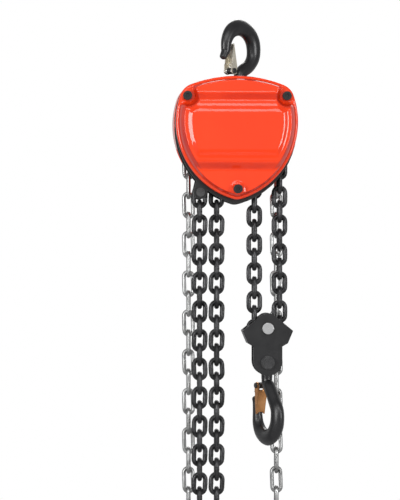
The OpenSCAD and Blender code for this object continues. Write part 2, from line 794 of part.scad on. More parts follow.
module drive_shaft() {
    color("silver") at_shaft() difference() {
        union() {
            rod_y(drive_r, disc_wheel_y, drive_thread_end);
            slab(disc_wheel_y - disc_wheel_t - 0.6, disc_wheel_y) polygon(gear_points(pinion_teeth, drive_pinion_r, 0));
            rod_y(drive_end_r, cover_in_y + 0.5, disc_wheel_y);
        }
        translate([0, hand_wheel_y + hand_wheel_w + wheel_nut_t - 1.5, 0])
            cylinder(r = 0.9, h = 4 * drive_r, center = true);
    }
}

// ---------- brake and hand wheel ----------

module brake_hub() {
    color("gray") at_shaft() difference() {
        union() {
            rod_y(hub_flange_r, hub_y, friction_y);
            rod_y(hub_boss_r, hub_y, hand_wheel_y - 0.5);
        }
        rod_y(drive_r + fit, hub_y - 1, hand_wheel_y);
    }
}

module friction_disc(y0) {
    color("saddlebrown") at_shaft() difference() {
        rod_y(hub_flange_r - 1, y0, y0 + friction_t);
        rod_y(hub_boss_r + 1, y0 - 1, y0 + friction_t + 1);
    }
}

module inner_friction_disc() {
    friction_disc(friction_y);
}

module outer_friction_disc() {
    friction_disc(outer_friction_y);
}

ratchet_bush_r = hub_boss_r + 2;
ratchet_step = 360 / ratchet_teeth;
ratchet_lead_deg = 1.5;

module ratchet_disc() {
    color("gray") at_shaft() difference() {
        slab(ratchet_y, ratchet_y + ratchet_t)
            polygon([for (k = [0:ratchet_teeth - 1], j = [0:3])
                let (a = pawl_nose_deg[0] + ratchet_lead_deg + k * ratchet_step + j * ratchet_step / 3 * 0.999)
                (ratchet_r - ratchet_depth * j / 3) * [cos(a), sin(a)]]);
        rod_y(ratchet_bush_r + fit, ratchet_y - 1, ratchet_y + ratchet_t + 1);
    }
}

module ratchet_bush() {
    color("peru") at_shaft() difference() {
        rod_y(ratchet_bush_r, ratchet_y, ratchet_y + ratchet_t);
        rod_y(hub_boss_r + fit, ratchet_y - 1, ratchet_y + ratchet_t + 1);
    }
}

hand_floor = hand_r * cos(chord_deg(hand_flat, hand_r) / 2) - hand_wire / 2 - air;
hand_groove_r = hand_r * cos(chord_deg(hand_upright, hand_r) / 2) - hand_link_w / 2 - 0.6;
hand_pocket_deg = hand_end_deg + chord_deg(hand_upright, hand_r) + chord_deg(hand_flat, hand_r) / 2;
hand_hub_r = 18;

module hand_wheel() {
    web_t = 6;
    rim_in_r = hand_groove_r - 5;
    color("gray") at_shaft() difference() {
        rod_y(hand_wheel_r, hand_wheel_y, hand_wheel_y + hand_wheel_w);
        rod_y(drive_r + fit, hand_wheel_y - 1, hand_wheel_y + hand_wheel_w + 1);
        difference() {
            rod_y(hand_wheel_r + 1, hand_chain_y - hand_wire / 2 - 0.6, hand_chain_y + hand_wire / 2 + 0.6);
            rod_y(hand_groove_r, hand_wheel_y, hand_wheel_y + hand_wheel_w);
        }
        for (k = [0:hand_pockets - 1])
            rotate([0, -hand_pocket_deg - k * 360 / hand_pockets, 0])
                translate([hand_floor, hand_chain_y - hand_link_w / 2 - 0.5, -hand_flat / 2 - hand_wire / 2 - pocket_play])
                    cube([hand_wheel_r, hand_link_w + 1, hand_flat + hand_wire + 2 * pocket_play]);
        difference() {
            rod_y(rim_in_r, hand_chain_y + web_t / 2, hand_wheel_y + hand_wheel_w + 1);
            rod_y(hand_hub_r, hand_chain_y, hand_wheel_y + hand_wheel_w + 2);
        }
    }
}

module hand_wheel_nut() {
    color("silver") at_shaft() difference() {
        translate([0, hand_wheel_y + hand_wheel_w, 0]) rotate([-90, 0, 0]) cylinder(r = 11, h = wheel_nut_t, $fn = 6);
        rod_y(drive_r + fit, hand_wheel_y + hand_wheel_w - 1, drive_thread_end + 1);
        translate([0, hand_wheel_y + hand_wheel_w + wheel_nut_t - 1.5, 0])
            cylinder(r = 1, h = 40, center = true);
    }
}

module hand_wheel_split_pin() {
    color("silver") at_shaft() translate([0, hand_wheel_y + hand_wheel_w + wheel_nut_t - 1.5, 0]) {
        cylinder(r = 0.8, h = 25, center = true);
        translate([0, 0, 13.5]) rotate([90, 0, 0]) rotate_extrude($fn = 24) translate([1.5, 0]) circle(r = 0.8, $fn = 16);
    }
}

// Pawl, drawn about its pivot with the nose lifted just clear of the ratchet's tips
module pawl(k) {
    nose_deg = pawl_nose_deg[k];
    pivot = pawl_pivots[k];
    lift_r = ratchet_r + air + 0.2;
    arm_r = 6;
    along_deg = atan2(lift_r * sin(nose_deg) - pivot[1], lift_r * cos(nose_deg) - pivot[0]);
    out = [cos(along_deg - 90), sin(along_deg - 90)];
    color("silver") at_shaft() difference() {
        slab(ratchet_y + air, ratchet_y + ratchet_t - air) {
            translate(pivot) circle(r = arm_r);
            polygon([pivot + arm_r * out, (lift_r + 6) * [cos(nose_deg - 2), sin(nose_deg - 2)],
                lift_r * [cos(nose_deg), sin(nose_deg)], (lift_r + 1.2) * [cos(nose_deg - 8), sin(nose_deg - 8)],
                pivot - arm_r * out * 0.9]);
        }
        translate([pivot[0], 0, pivot[1]]) rod_y(pawl_stud_r + fit, ratchet_y - 1, ratchet_y + ratchet_t + 1);
    }
}

module upper_pawl() {
    pawl(0);
}

module lower_pawl() {
    pawl(1);
}

module pawl_studs() {
    color("gray") at_shaft() for (p = pawl_pivots)
        translate([p[0], 0, p[1]]) {
            rod_y(pawl_stud_r, plate_in, ratchet_y + ratchet_t + 2);
            rod_y(pawl_stud_r + 2, ratchet_y + ratchet_t + 0.3, ratchet_y + ratchet_t + 1.6);
            rod_y(pawl_stud_r + 2, plate_out, plate_out + 2);
        }
}

module pawl_springs() {
    wire = 0.6;
    coil = pawl_stud_r + 1.1;
    color("silver") at_shaft() for (p = pawl_pivots)
        translate([p[0], 0, p[1]]) {
            for (k = [0:3])
                translate([0, plate_out + 3.2 + 1.5 * k, 0]) rotate([90, 0, 0])
                    rotate_extrude($fn = 24) translate([coil, 0]) circle(r = wire, $fn = 16);
        }
}

// ---------- block ----------

// Outline of a block plate about the axle: a dome, two shoulders, and a round-ended neck
block_shoulder = [31.5, -3];
block_hip = [25, -18.5];
block_neck_w = 18;
module block_outline() {
    dome = 13;
    dome_up = 6;
    polygon(concat(
        arc([0, dome_up], dome, 50, 130, 8), [[0, dome_up] + dome * [cos(130), sin(130)]],
        [[-block_shoulder[0], block_shoulder[1]], [-block_hip[0], block_hip[1]],
            [-block_neck_w, block_hip[1] - 4]],
        arc([0, -block_yoke_drop + 1.5], block_neck_w, 180, 360, 16),
        [[block_neck_w, -block_yoke_drop + 1.5], [block_neck_w, block_hip[1] - 4], block_hip, block_shoulder]));
}

module block_plate(s) {
    lip_t = 2.5;
    lip = (block_shoulder - block_hip) / norm(block_shoulder - block_hip);
    across = [-lip[1], lip[0]] * lip_t;
    color("dimgray") at_block() mirror([0, s > 0 ? 1 : 0, 0]) difference() {
        union() {
            slab(-block_out, -block_in) block_outline();
            for (m = [0, 1])
                mirror([m, 0, 0]) slab(-block_out, -0.3)
                    polygon([block_shoulder, block_hip, block_hip + across, block_shoulder + across]);
        }
        rod_y(axle_r + fit, -block_out - 1, -block_in + 1);
        translate([0, 0, -block_yoke_drop]) rod_y(block_trunnion_r + fit, -block_out - 1, -block_in + 1);
    }
}

block_trunnion_r = 5;

module front_block_plate() {
    block_plate(-1);
}

module rear_block_plate() {
    block_plate(1);
}

idle_floor = idle_r * cos(chord_deg(load_flat, idle_r) / 2) - load_wire / 2 - air;
idle_groove_r = idle_reach - load_link_w / 2 - 0.45;
idle_flange_r = 18;

module idle_sheave() {
    half = block_in - 0.6;
    color("gray") at_block() difference() {
        rod_y(idle_flange_r, -half, half);
        rod_y(axle_r + fit, -half - 1, half + 1);
        difference() {
            rod_y(idle_flange_r + 1, -load_link_w / 2 - 0.5, load_link_w / 2 + 0.5);
            rod_y(idle_floor, -half, half);
        }
        difference() {
            rod_y(idle_flange_r + 1, -groove_half_w, groove_half_w);
            rod_y(idle_groove_r, -half, half);
        }
    }
}

module idle_axle() {
    color("silver") at_block() difference() {
        union() {
            rod_y(axle_r, -block_out, block_out + 3);
            rod_y(axle_head_r, -block_out - 3.2, -block_out);
        }
        rod_y_groove(axle_r, block_out + 1.2, 1);
    }
}

module idle_axle_washer() {
    color("silver") at_block() difference() {
        rod_y(axle_head_r, block_out, block_out + 1.1);
        rod_y(axle_r + fit, block_out - 1, block_out + 2);
    }
}

module block_yoke() {
    color("gray") translate([cx + block_x, 0, block_yoke_z]) difference() {
        union() {
            translate([-13, -block_in + 0.1, -block_yoke_h / 2]) cube([26, 2 * block_in - 0.2, block_yoke_h]);
            rod_y(block_trunnion_r, -block_out - 6, block_out + 6);
        }
        translate([0, 0, -block_yoke_h]) cylinder(r = shank_r + fit, h = 2 * block_yoke_h);
    }
}

module block_yoke_nuts() {
    color("black") translate([cx + block_x, 0, block_yoke_z]) for (s = [0, 1])
        mirror([0, s, 0]) difference() {
            union() {
                rod_y(8.4, -block_out - 1.4, -block_out);
                translate([0, -block_out - 1.4, 0]) rotate([90, 0, 0]) cylinder(r = 7.6, h = 4, $fn = 6);
            }
            rod_y(block_trunnion_r + fit, -block_out - 7, -block_out + 1);
        }
}

bottom_nut_low = block_yoke_z + block_yoke_h / 2 + air;
bottom_shank_top = bottom_nut_low + hook_nut_h - bottom_saddle_z;

module bottom_hook() {
    color("dimgray") place_bottom_hook() hook(bottom_nose, bottom_shank_top);
}

module bottom_hook_nut() {
    color("gray") place_bottom_hook() translate([0, 0, bottom_shank_top - hook_nut_h])
        round_nut(hook_nut_h, shank_r + fit, hook_nut_r);
}

module bottom_hook_pin() {
    color("silver") place_bottom_hook() translate([0, 0, bottom_shank_top - hook_nut_h / 2]) rotate([0, 90, 0])
        cylinder(r = pin_r, h = 2 * hook_nut_r, center = true);
}

module bottom_latch() {
    color("peru") place_bottom_hook() latch(bottom_nose);
}

module bottom_latch_rivet() {
    color("dimgray") place_bottom_hook() latch_rivet(bottom_nose);
}

module bottom_latch_spring() {
    color("silver") place_bottom_hook() latch_spring(bottom_nose);
}

// ---------- chains ----------

module hand_chain() {
    drop = 2 * hand_drop_pairs + 1;
    start = [hand_strand_x, hand_r * sin(hand_end_deg)];
    low = start[1] - (hand_drop_pairs * hand_pair + hand_flat);
    upside = hand_end_deg;
    color("lightgray") at_shaft() translate([0, hand_chain_y, 0]) {
        chain_run(wrap([0, 0], hand_r, upside, 1, 7, hand_upright, hand_flat),
            hand_pitch, hand_wire, hand_link_w, true);
        for (s = [-1, 1])
            chain_run(strand([s * start[0], start[1]], -1, drop, hand_flat, hand_upright),
                hand_pitch, hand_wire, hand_link_w, false);
        chain_run(wrap([0, low + start[1]], hand_r, -upside, -1, 7, hand_upright, hand_flat),
            hand_pitch, hand_wire, hand_link_w, true);
    }
}

module load_chain_slack() {
    n = 2 * slack_pairs + 1;
    turn = [slack_x, slack_turn_z - shaft_z];
    lean = acos((slack_loop_w - load_upright) / 2 / load_flat);
    low = turn[1] - load_flat * sin(lean);
    color("dimgray") at_shaft() {
        load_run(strand([slack_x, 0], -1, n, load_upright, load_flat), true);
        load_run([turn, [turn[0] - load_flat * cos(lean), low],
            [slack_end_x + load_flat * cos(lean), low], [slack_end_x, turn[1]]], false);
        load_run(strand([slack_end_x, turn[1]], 1, 2 * slack_end_pairs + 1, load_upright, load_flat), true);
    }
}

module load_chain_on_sheave() {
    color("dimgray") at_shaft()
        load_run(wrap([0, 0], load_r, 0, 1, 4, load_upright, load_flat), true);
}

module load_chain_upper_falls() {
    anchored_top = -fall_pairs * load_pair + anchored_pairs * load_pair;
    color("dimgray") at_shaft() {
        load_run(strand([driven_x, 0], -1, 2 * (fall_pairs - lift_pairs), load_flat, load_upright), false);
        load_run(strand([anchored_x, anchored_top], -1, 2 * (anchored_pairs - lift_pairs),
            load_upright, load_flat), true);
    }
}

module load_chain_lower_falls() {
    low = -fall_pairs * load_pair;
    color("dimgray") at_shaft() {
        load_run(strand([driven_x, low], 1, 2 * lift_pairs, load_upright, load_flat), true);
        load_run(strand([anchored_x, low], 1, 2 * lift_pairs, load_flat, load_upright), false);
    }
}

module load_chain_on_idler() {
    color("dimgray") at_block()
        load_run(wrap([0, 0], idle_r, -150, 1, 2, load_flat, load_upright), false);
}

top_hook();
top_hook_nut();
top_hook_pin();
top_latch();
top_latch_rivet();
top_latch_spring();
top_yoke();
front_plate();
rear_plate();
stay_bolts();
front_cover_nuts();
rear_cover_nuts();
gear_cover();
hand_wheel_cover();
bearing_plate();
front_load_bearing();
rear_load_bearing();
chain_stripper();
chain_guide_pins();
slack_anchor_pin();
slack_anchor_split_pin();
fall_anchor_pin();
load_sheave();
load_gear();
load_gear_clip();
left_disc_gear();
right_disc_gear();
drive_shaft();
brake_hub();
inner_friction_disc();
ratchet_disc();
ratchet_bush();
outer_friction_disc();
hand_wheel();
hand_wheel_nut();
hand_wheel_split_pin();
upper_pawl();
lower_pawl();
pawl_studs();
pawl_springs();
front_block_plate();
rear_block_plate();
idle_sheave();
idle_axle();
idle_axle_washer();
block_yoke();
block_yoke_nuts();
bottom_hook();
bottom_hook_nut();
bottom_hook_pin();
bottom_latch();
bottom_latch_rivet();
bottom_latch_spring();
hand_chain();
load_chain_slack();
load_chain_on_sheave();
load_chain_upper_falls();
load_chain_lower_falls();
load_chain_on_idler();
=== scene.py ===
import json
import math

import bmesh
import bpy
from mathutils import Matrix, Vector


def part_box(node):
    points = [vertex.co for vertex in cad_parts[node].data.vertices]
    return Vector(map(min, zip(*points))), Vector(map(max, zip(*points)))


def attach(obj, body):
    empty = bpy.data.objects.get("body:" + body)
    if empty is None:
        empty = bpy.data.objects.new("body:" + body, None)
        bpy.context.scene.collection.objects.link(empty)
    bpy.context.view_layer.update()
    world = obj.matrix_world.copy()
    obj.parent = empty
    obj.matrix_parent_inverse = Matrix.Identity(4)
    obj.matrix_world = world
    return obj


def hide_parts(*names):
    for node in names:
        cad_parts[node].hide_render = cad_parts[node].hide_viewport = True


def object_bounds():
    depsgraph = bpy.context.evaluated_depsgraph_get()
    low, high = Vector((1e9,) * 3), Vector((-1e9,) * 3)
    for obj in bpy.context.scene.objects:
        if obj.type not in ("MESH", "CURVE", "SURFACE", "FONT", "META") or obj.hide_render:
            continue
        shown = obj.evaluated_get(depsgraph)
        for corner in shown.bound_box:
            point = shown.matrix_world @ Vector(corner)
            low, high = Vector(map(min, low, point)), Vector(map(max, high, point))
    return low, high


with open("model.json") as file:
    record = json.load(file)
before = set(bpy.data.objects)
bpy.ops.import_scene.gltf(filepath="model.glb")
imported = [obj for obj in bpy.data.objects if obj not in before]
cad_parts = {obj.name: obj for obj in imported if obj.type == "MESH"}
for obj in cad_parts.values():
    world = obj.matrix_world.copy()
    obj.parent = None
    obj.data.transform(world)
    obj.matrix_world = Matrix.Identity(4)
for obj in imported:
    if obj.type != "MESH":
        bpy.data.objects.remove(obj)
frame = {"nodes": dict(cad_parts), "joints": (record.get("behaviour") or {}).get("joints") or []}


def corners(bounds):
    """The two corners of a box as plain lists of numbers."""
    return [[float(x) for x in corner] for corner in bounds]


cad_size = corners(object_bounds())

# ---- Studio ----------------------------------------------------------------------------------
# A round pale paper floor under the hanging hoist and plain white behind it, lit by soft boxes at
# the left, the right, high in front, behind the camera and behind the hoist. The camera has a
# long lens and looks level at the chains.
SENSOR_W = 36
FRAME_HEIGHT = 0.625
AIM = Vector((-0.0489, 0.0, -0.268))
CAMERA_AWAY = 2.9
CAMERA_TURN = math.radians(3.5)
LIGHT_AIM = Vector((0, 0, -0.25))
FLOOR_UNDER, FLOOR_R = 0.05, 0.9
AMBIENT_FRONT, AMBIENT_BACK = 0.2, 0.55
AMBIENT_FROM_Y, AMBIENT_TO_Y = -0.3, 0.9
NOISE_ROUGHNESS = 0.55

camera_data = bpy.data.cameras.new("camera")
camera_data.sensor_width = SENSOR_W
camera_data.lens = SENSOR_W * CAMERA_AWAY / FRAME_HEIGHT
camera_data.clip_end = 20
camera = bpy.data.objects.new("camera", camera_data)
camera.location = AIM + CAMERA_AWAY * Vector((-math.sin(CAMERA_TURN), -math.cos(CAMERA_TURN), 0))
camera.rotation_euler = (math.pi / 2, 0, -CAMERA_TURN)
bpy.context.scene.collection.objects.link(camera)
bpy.context.scene.camera = camera


def soft_light(name, place, size, watts):
    """A rectangular soft box, turned to the middle of the hoist."""
    data = bpy.data.lights.new(name, "AREA")
    data.shape = "RECTANGLE"
    data.size, data.size_y = size
    data.energy = watts
    light = bpy.data.objects.new(name, data)
    light.location = place
    light.visible_camera = False
    light.rotation_euler = (LIGHT_AIM - Vector(place)).to_track_quat("-Z", "Y").to_euler()
    bpy.context.scene.collection.objects.link(light)


soft_light("left_box", (-1.8, -1.7, -0.1), (0.8, 1.1), 32)
soft_light("right_box", (1.7, -1.8, -0.1), (0.7, 1.1), 28)
soft_light("front_box", (-0.4, -3.2, 1.7), (3.0, 1.2), 52)
soft_light("eye_box", (-0.4, -4.6, -0.05), (3.4, 2.2), 7)
soft_light("back_box", (0.6, 2.6, 1.4), (1.8, 1.2), 26)

world = bpy.data.worlds.new("studio")
world.use_nodes = True
tree = world.node_tree
background = tree.nodes["Background"]
background.inputs["Color"].default_value = (1, 1, 1, 1)
direction = tree.nodes.new("ShaderNodeTexCoord")
split = tree.nodes.new("ShaderNodeSeparateXYZ")
spread = tree.nodes.new("ShaderNodeMapRange")
spread.inputs["From Min"].default_value = AMBIENT_FROM_Y
spread.inputs["From Max"].default_value = AMBIENT_TO_Y
spread.inputs["To Min"].default_value = AMBIENT_FRONT
spread.inputs["To Max"].default_value = AMBIENT_BACK
rays = tree.nodes.new("ShaderNodeLightPath")
seen = tree.nodes.new("ShaderNodeMath")
seen.operation = "MAXIMUM"
tree.links.new(direction.outputs["Generated"], split.inputs["Vector"])
tree.links.new(split.outputs["Y"], spread.inputs["Value"])
tree.links.new(spread.outputs["Result"], seen.inputs[0])
tree.links.new(rays.outputs["Is Camera Ray"], seen.inputs[1])
tree.links.new(seen.outputs["Value"], background.inputs["Strength"])
bpy.context.scene.world = world
bpy.context.scene.view_settings.view_transform = "Standard"


def graph(name, **sockets):
    """A material with its shader, whose even values are set on the shader's own sockets."""
    material = bpy.data.materials.new(name)
    material.use_nodes = True
    tree = material.node_tree
    shader = tree.nodes["Principled BSDF"]
    for socket, value in sockets.items():
        shader.inputs[socket.replace("_", " ")].default_value = value
    return material, tree, shader


def speckle(tree, scale, detail, drawn=(1, 1, 1)):
    """Noise over the piece's own coordinates, drawn out where an axis is below 1."""
    where = tree.nodes.new("ShaderNodeTexCoord")
    stretched = tree.nodes.new("ShaderNodeMapping")
    stretched.inputs["Scale"].default_value = drawn
    noise = tree.nodes.new("ShaderNodeTexNoise")
    noise.inputs["Scale"].default_value = scale
    noise.inputs["Detail"].default_value = detail
    noise.inputs["Roughness"].default_value = NOISE_ROUGHNESS
    tree.links.new(where.outputs["Object"], stretched.inputs["Vector"])
    tree.links.new(stretched.outputs["Vector"], noise.inputs["Vector"])
    return noise.outputs["Fac"]


def ramp(tree, factor, stops):
    """Spreads a factor over colours or greys, stops being (place, value) pairs."""
    node = tree.nodes.new("ShaderNodeValToRGB")
    node.color_ramp.elements[0].position = stops[0][0]
    node.color_ramp.elements[1].position = stops[1][0]
    for element, (place, value) in zip(node.color_ramp.elements, stops):
        colour = (value, value, value) if isinstance(value, float) else value
        element.color = (*colour, 1)
    tree.links.new(factor, node.inputs["Fac"])
    return node.outputs["Color"]


def mottle(tree, shader, socket, scale, detail, *stops):
    """Spreads noise between two stops into one of the shader's sockets."""
    tree.links.new(ramp(tree, speckle(tree, scale, detail), stops), shader.inputs[socket])


floor_material, tree, shader = graph("studio_paper", Roughness=0.9)
mottle(tree, shader, "Base Color", 2.0, 3.0, (0.3, 0.54), (0.7, 0.58))
bm = bmesh.new()
bmesh.ops.create_circle(bm, cap_ends=True, segments=96, radius=FLOOR_R,
                        matrix=Matrix.Translation((0, 0, cad_size[0][2] - FLOOR_UNDER)))
floor_mesh = bpy.data.meshes.new("studio_floor")
bm.to_mesh(floor_mesh)
bm.free()
floor = bpy.data.objects.new("studio_floor", floor_mesh)
floor_mesh.materials.append(floor_material)
bpy.context.scene.collection.objects.link(floor)

# ---- Pressed covers --------------------------------------------------------------------------
# The gear cover in front and the hand wheel cover behind are pressed from steel sheet about
# 1.5 mm thick, with a blunt shield for their outline, and enamelled orange. Each is held against
# its side plate by nuts on the three stay bolts.
MM = 0.001
COVER_W = 152
CROWN_H = 72
SIDE_R, WIDEST_H, DOME_R, CORNER_R, POINT_R = 100, 15, 160, 22, 16
HALF_STEPS = 128
STAYS = [(-61.7, 47), (61.7, 47), (0, -68.6)]
STAY_HOLE_R, HOLE_EDGE_REACH = 4.5, 2
FACE_ON = 0.7
cover_low, cover_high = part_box("gear_cover")
AXIS_X = (cover_low.x + cover_high.x) / 2 / MM
AXIS_Z = cover_high.z / MM - CROWN_H
PLATE_Y = cover_high.y / MM
ORANGE = (0.93, 0.056, 0.010)
ORANGE_DEEP = (0.87, 0.046, 0.008)
# Painted shade: the darker, redder colour given to the gear cover's steep walls.
ORANGE_WALL_SHADE = (0.50, 0.012, 0.005)

side_centre = Vector((COVER_W / 2 - SIDE_R, WIDEST_H))
dome_centre = Vector((0, CROWN_H - DOME_R))
point_centre = Vector((0, WIDEST_H - math.sqrt((SIDE_R - POINT_R) ** 2 - side_centre.x ** 2)))


def meeting(c1, r1, c2, r2):
    """Where two circles meet, on the left of the line from the first to the second."""
    away = c2 - c1
    d = away.length
    a = (r1 * r1 - r2 * r2 + d * d) / (2 * d)
    return c1 + away * (a / d) + Vector((-away.y, away.x)) * (math.sqrt(r1 * r1 - a * a) / d)


corner_centre = meeting(side_centre, SIDE_R - CORNER_R, dome_centre, DOME_R - CORNER_R)
bend_low = math.atan2(*(point_centre - side_centre).yx)
bend_side = math.atan2(*(corner_centre - side_centre).yx)
bend_dome = math.atan2(*(corner_centre - dome_centre).yx)
# Centre, radius, first angle, last angle and steps of each arc of the right half, from the bottom.
ARCS = [
    (point_centre, POINT_R, -math.pi / 2, bend_low, 12),
    (side_centre, SIDE_R, bend_low, bend_side, 60),
    (corner_centre, CORNER_R, bend_side, bend_dome, 24),
    (dome_centre, DOME_R, bend_dome, math.pi / 2, 32),
]


def shield(share, inset):
    """The point a share of the way round the outline, drawn in by inset, from the bottom."""
    side = 1 if share < 0.5 else -1
    step = min(share, 1 - share) * 2 * HALF_STEPS
    for centre, radius, start, end, count in ARCS:
        if step <= count:
            angle = start + (end - start) * step / count
            point = centre + (radius - inset) * Vector((math.cos(angle), math.sin(angle)))
            return Vector((side * point.x, point.y))
        step -= count
    return Vector((0, CROWN_H - inset))


def inside_by(x, z):
    """How far a point lies inside the outline."""
    x = abs(x)
    p = Vector((x, z))
    turn = math.atan2(*(p - corner_centre).yx)
    if bend_side < turn < bend_dome:
        return CORNER_R - (p - corner_centre).length
    d = min(SIDE_R - (p - side_centre).length, DOME_R - (p - dome_centre).length)
    if z < point_centre.y and math.atan2(x, point_centre.y - z) < math.pi / 2 + bend_low:
        d = min(d, POINT_R - (p - point_centre).length)
    return d


def rounded_min(a, b, r):
    """The smaller of two distances, with the corner between them rounded to radius r."""
    if a < r and b < r:
        return r - math.hypot(r - a, r - b)
    return min(a, b)


def ramp_up(t, w):
    """Climbs one for one past 0, with its bend rounded over w each side."""
    return 0 if t < -w else t if t > w else (t + w) ** 2 / (4 * w)


def pressed(d, wide, rounding=0.8):
    """Share of a pressed step at distance d in from its foot, wide across the slope."""
    return (ramp_up(d, rounding) - ramp_up(d - wide, rounding)) / wide


def wheel_of_rings(rings, around):
    """A flat disc of rings, spun from one spoke, with one vertex in the middle."""
    bm = bmesh.new()
    spoke = [bm.verts.new((ring, 0, 0)) for ring in range(rings + 1)]
    edges = [bm.edges.new(pair) for pair in zip(spoke, spoke[1:])]
    bmesh.ops.spin(bm, geom=spoke + edges, cent=(0, 0, 0), axis=(0, 0, 1), angle=2 * math.pi,
                   steps=around, use_merge=True, use_duplicate=False)
    bmesh.ops.remove_doubles(bm, verts=bm.verts, dist=0.001)
    return bm


def press(rings, surface, facing):
    """Presses a disc of rings into a cover: surface(ring, share) gives x, y, z about the shaft."""
    around = 2 * HALF_STEPS
    bm = wheel_of_rings(rings, around)
    for v in bm.verts:
        ring = round(v.co.length)
        share = (math.atan2(v.co.y, v.co.x) / (2 * math.pi)) % 1
        x, y, z = surface(rings - ring, round(share * around) / around)
        v.co = Vector((AXIS_X + x, y, AXIS_Z + z))
    bmesh.ops.recalc_face_normals(bm, faces=bm.faces)
    shaft = Vector((AXIS_X, AXIS_Z))
    middle = min(bm.faces, key=lambda f: (f.calc_center_median().xz - shaft).length)
    if middle.normal.y * facing < 0:
        bmesh.ops.reverse_faces(bm, faces=bm.faces)
    return bm


def bore_stays(bm):
    """Opens a round hole for each stay bolt, which its nut covers."""
    for stay in STAYS:
        axis = Vector((AXIS_X + stay[0], AXIS_Z + stay[1]))
        inside = [f for f in bm.faces if (f.calc_center_median().xz - axis).length < STAY_HOLE_R
                  and abs(f.normal.y) > FACE_ON]
        bmesh.ops.delete(bm, geom=inside, context="FACES")
        for v in bm.verts:
            out = v.co.xz - axis
            if v.is_boundary and out.length < STAY_HOLE_R + HOLE_EDGE_REACH:
                out *= STAY_HOLE_R / out.length
                v.co.x, v.co.z = axis.x + out.x, axis.y + out.y


def finish_mesh(name, bm, body, material, node, scale=MM):
    """Turns a bmesh drawn in millimetres into a piece that rides on its body for a CAD node."""
    bmesh.ops.scale(bm, verts=bm.verts, vec=(scale, scale, scale))
    mesh = bpy.data.meshes.new(name)
    bm.to_mesh(mesh)
    bm.free()
    mesh.shade_smooth()
    mesh.materials.append(material)
    piece = bpy.data.objects.new(name, mesh)
    bpy.context.scene.collection.objects.link(piece)
    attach(piece, body)
    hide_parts(node)
    return piece


def thicken(piece, sheet):
    """Gives a pressed skin the thickness of its sheet, inwards, in mm."""
    wall = piece.modifiers.new("sheet", "SOLIDIFY")
    wall.thickness = sheet * MM
    wall.offset = -1


def bump(tree, shader, height, depth, strength, under=None):
    """Roughens the shader's surface by a height, over another bump where one lies under it."""
    node = tree.nodes.new("ShaderNodeBump")
    node.inputs["Strength"].default_value = strength
    node.inputs["Distance"].default_value = depth
    tree.links.new(height, node.inputs["Height"])
    if under is not None:
        tree.links.new(under, node.inputs["Normal"])
    tree.links.new(node.outputs["Normal"], shader.inputs["Normal"])
    return node.outputs["Normal"]


# Painted shade: the enamel is darkened to a deep red on the steep pressed walls, which the mesh
# marks with its own attribute from how far each point's normal turns from the front.
# A Mix node's colour sockets share their names with its other sockets, so they go by number.
MIX_COLOUR_A, MIX_COLOUR_B, MIX_COLOUR_OUT = 6, 7, 2
enamel, tree, shader = graph("orange_enamel", IOR=1.2, Coat_Weight=0.8, Coat_Roughness=0.04)
wall_shade = tree.nodes.new("ShaderNodeAttribute")
wall_shade.attribute_name = "wall_shade"
shaded_walls_mix = tree.nodes.new("ShaderNodeMix")
shaded_walls_mix.data_type = "RGBA"
tree.links.new(wall_shade.outputs["Fac"], shaded_walls_mix.inputs["Factor"])
tree.links.new(ramp(tree, speckle(tree, 9.0, 4.0), [(0.3, ORANGE_DEEP), (0.65, ORANGE)]),
               shaded_walls_mix.inputs[MIX_COLOUR_A])
tree.links.new(ramp(tree, speckle(tree, 14.0, 3.0), [(0.3, ORANGE_WALL_SHADE), (0.7, ORANGE_DEEP)]),
               shaded_walls_mix.inputs[MIX_COLOUR_B])
tree.links.new(shaded_walls_mix.outputs[MIX_COLOUR_OUT], shader.inputs["Base Color"])
mottle(tree, shader, "Roughness", 60.0, 5.0, (0.3, 0.27), (0.75, 0.35))
bump(tree, shader, speckle(tree, 420.0, 2.0), 0.00006, 0.35)

# The gear cover steps forward from its flange to a middle level, which leaves an ear at each upper
# nut, and from there to a broad band whose walls lean. A small raised seat carries the bottom nut.
GEAR_SHEET = 1.4
FLANGE_Y, MIDDLE_Y, BAND_Y = -10, -18.5, -30
EDGE_R = 3.0
RIM_IN = 14.1
EDGE_FOOT, EDGE_TOP = 3.2, 5.6
EAR_FOOT, EAR_ROUND = 10, 7
SEAT_R, SEAT_RISE, SEAT_SLOPE, SEAT_BEND = 9.5, 1.5, 1.6, 0.5
BAND_MIDDLE, BAND_HALF, BAND_ROUND = 3, 47.5, 10
BAND_EAR_GAP, BAND_EAR_SLOPE, BAND_EAR_ROUND = 1.5, 2.4, 8
BAND_WALL, BAND_STEP, BAND_TOP = 9, 15, 23.5
BAND_BREAK_Y, BAND_STEP_Y = -26.7, -27.0
BAND_FOOT_IN, BAND_BREAK_IN, BAND_FLAT_IN = 5.5, 9.7, 19.8
FOOT_BEND, WALL_BEND, STEP_BEND, TOP_BEND = 2.0, 1.6, 2.4, 2.8
WALL_RINGS, EDGE_RINGS, RIM_RINGS, INNER_RINGS = 4, 5, 25, 66
FRONT_RINGS = WALL_RINGS + EDGE_RINGS + RIM_RINGS + INNER_RINGS
# Painted shade on the steep walls: only points this far forward of the flange get it, and the gain
# sets how fast it grows with the wall's slope.
WALL_SHADE_BEHIND, WALL_SHADE_GAIN = 0.3, 2.2

WALL_SLOPE = (MIDDLE_Y - BAND_BREAK_Y) / BAND_WALL
CHAMFER_SLOPE = (BAND_BREAK_Y - BAND_STEP_Y) / (BAND_STEP - BAND_WALL)
STEP_SLOPE = (BAND_STEP_Y - BAND_Y) / (BAND_TOP - BAND_STEP)


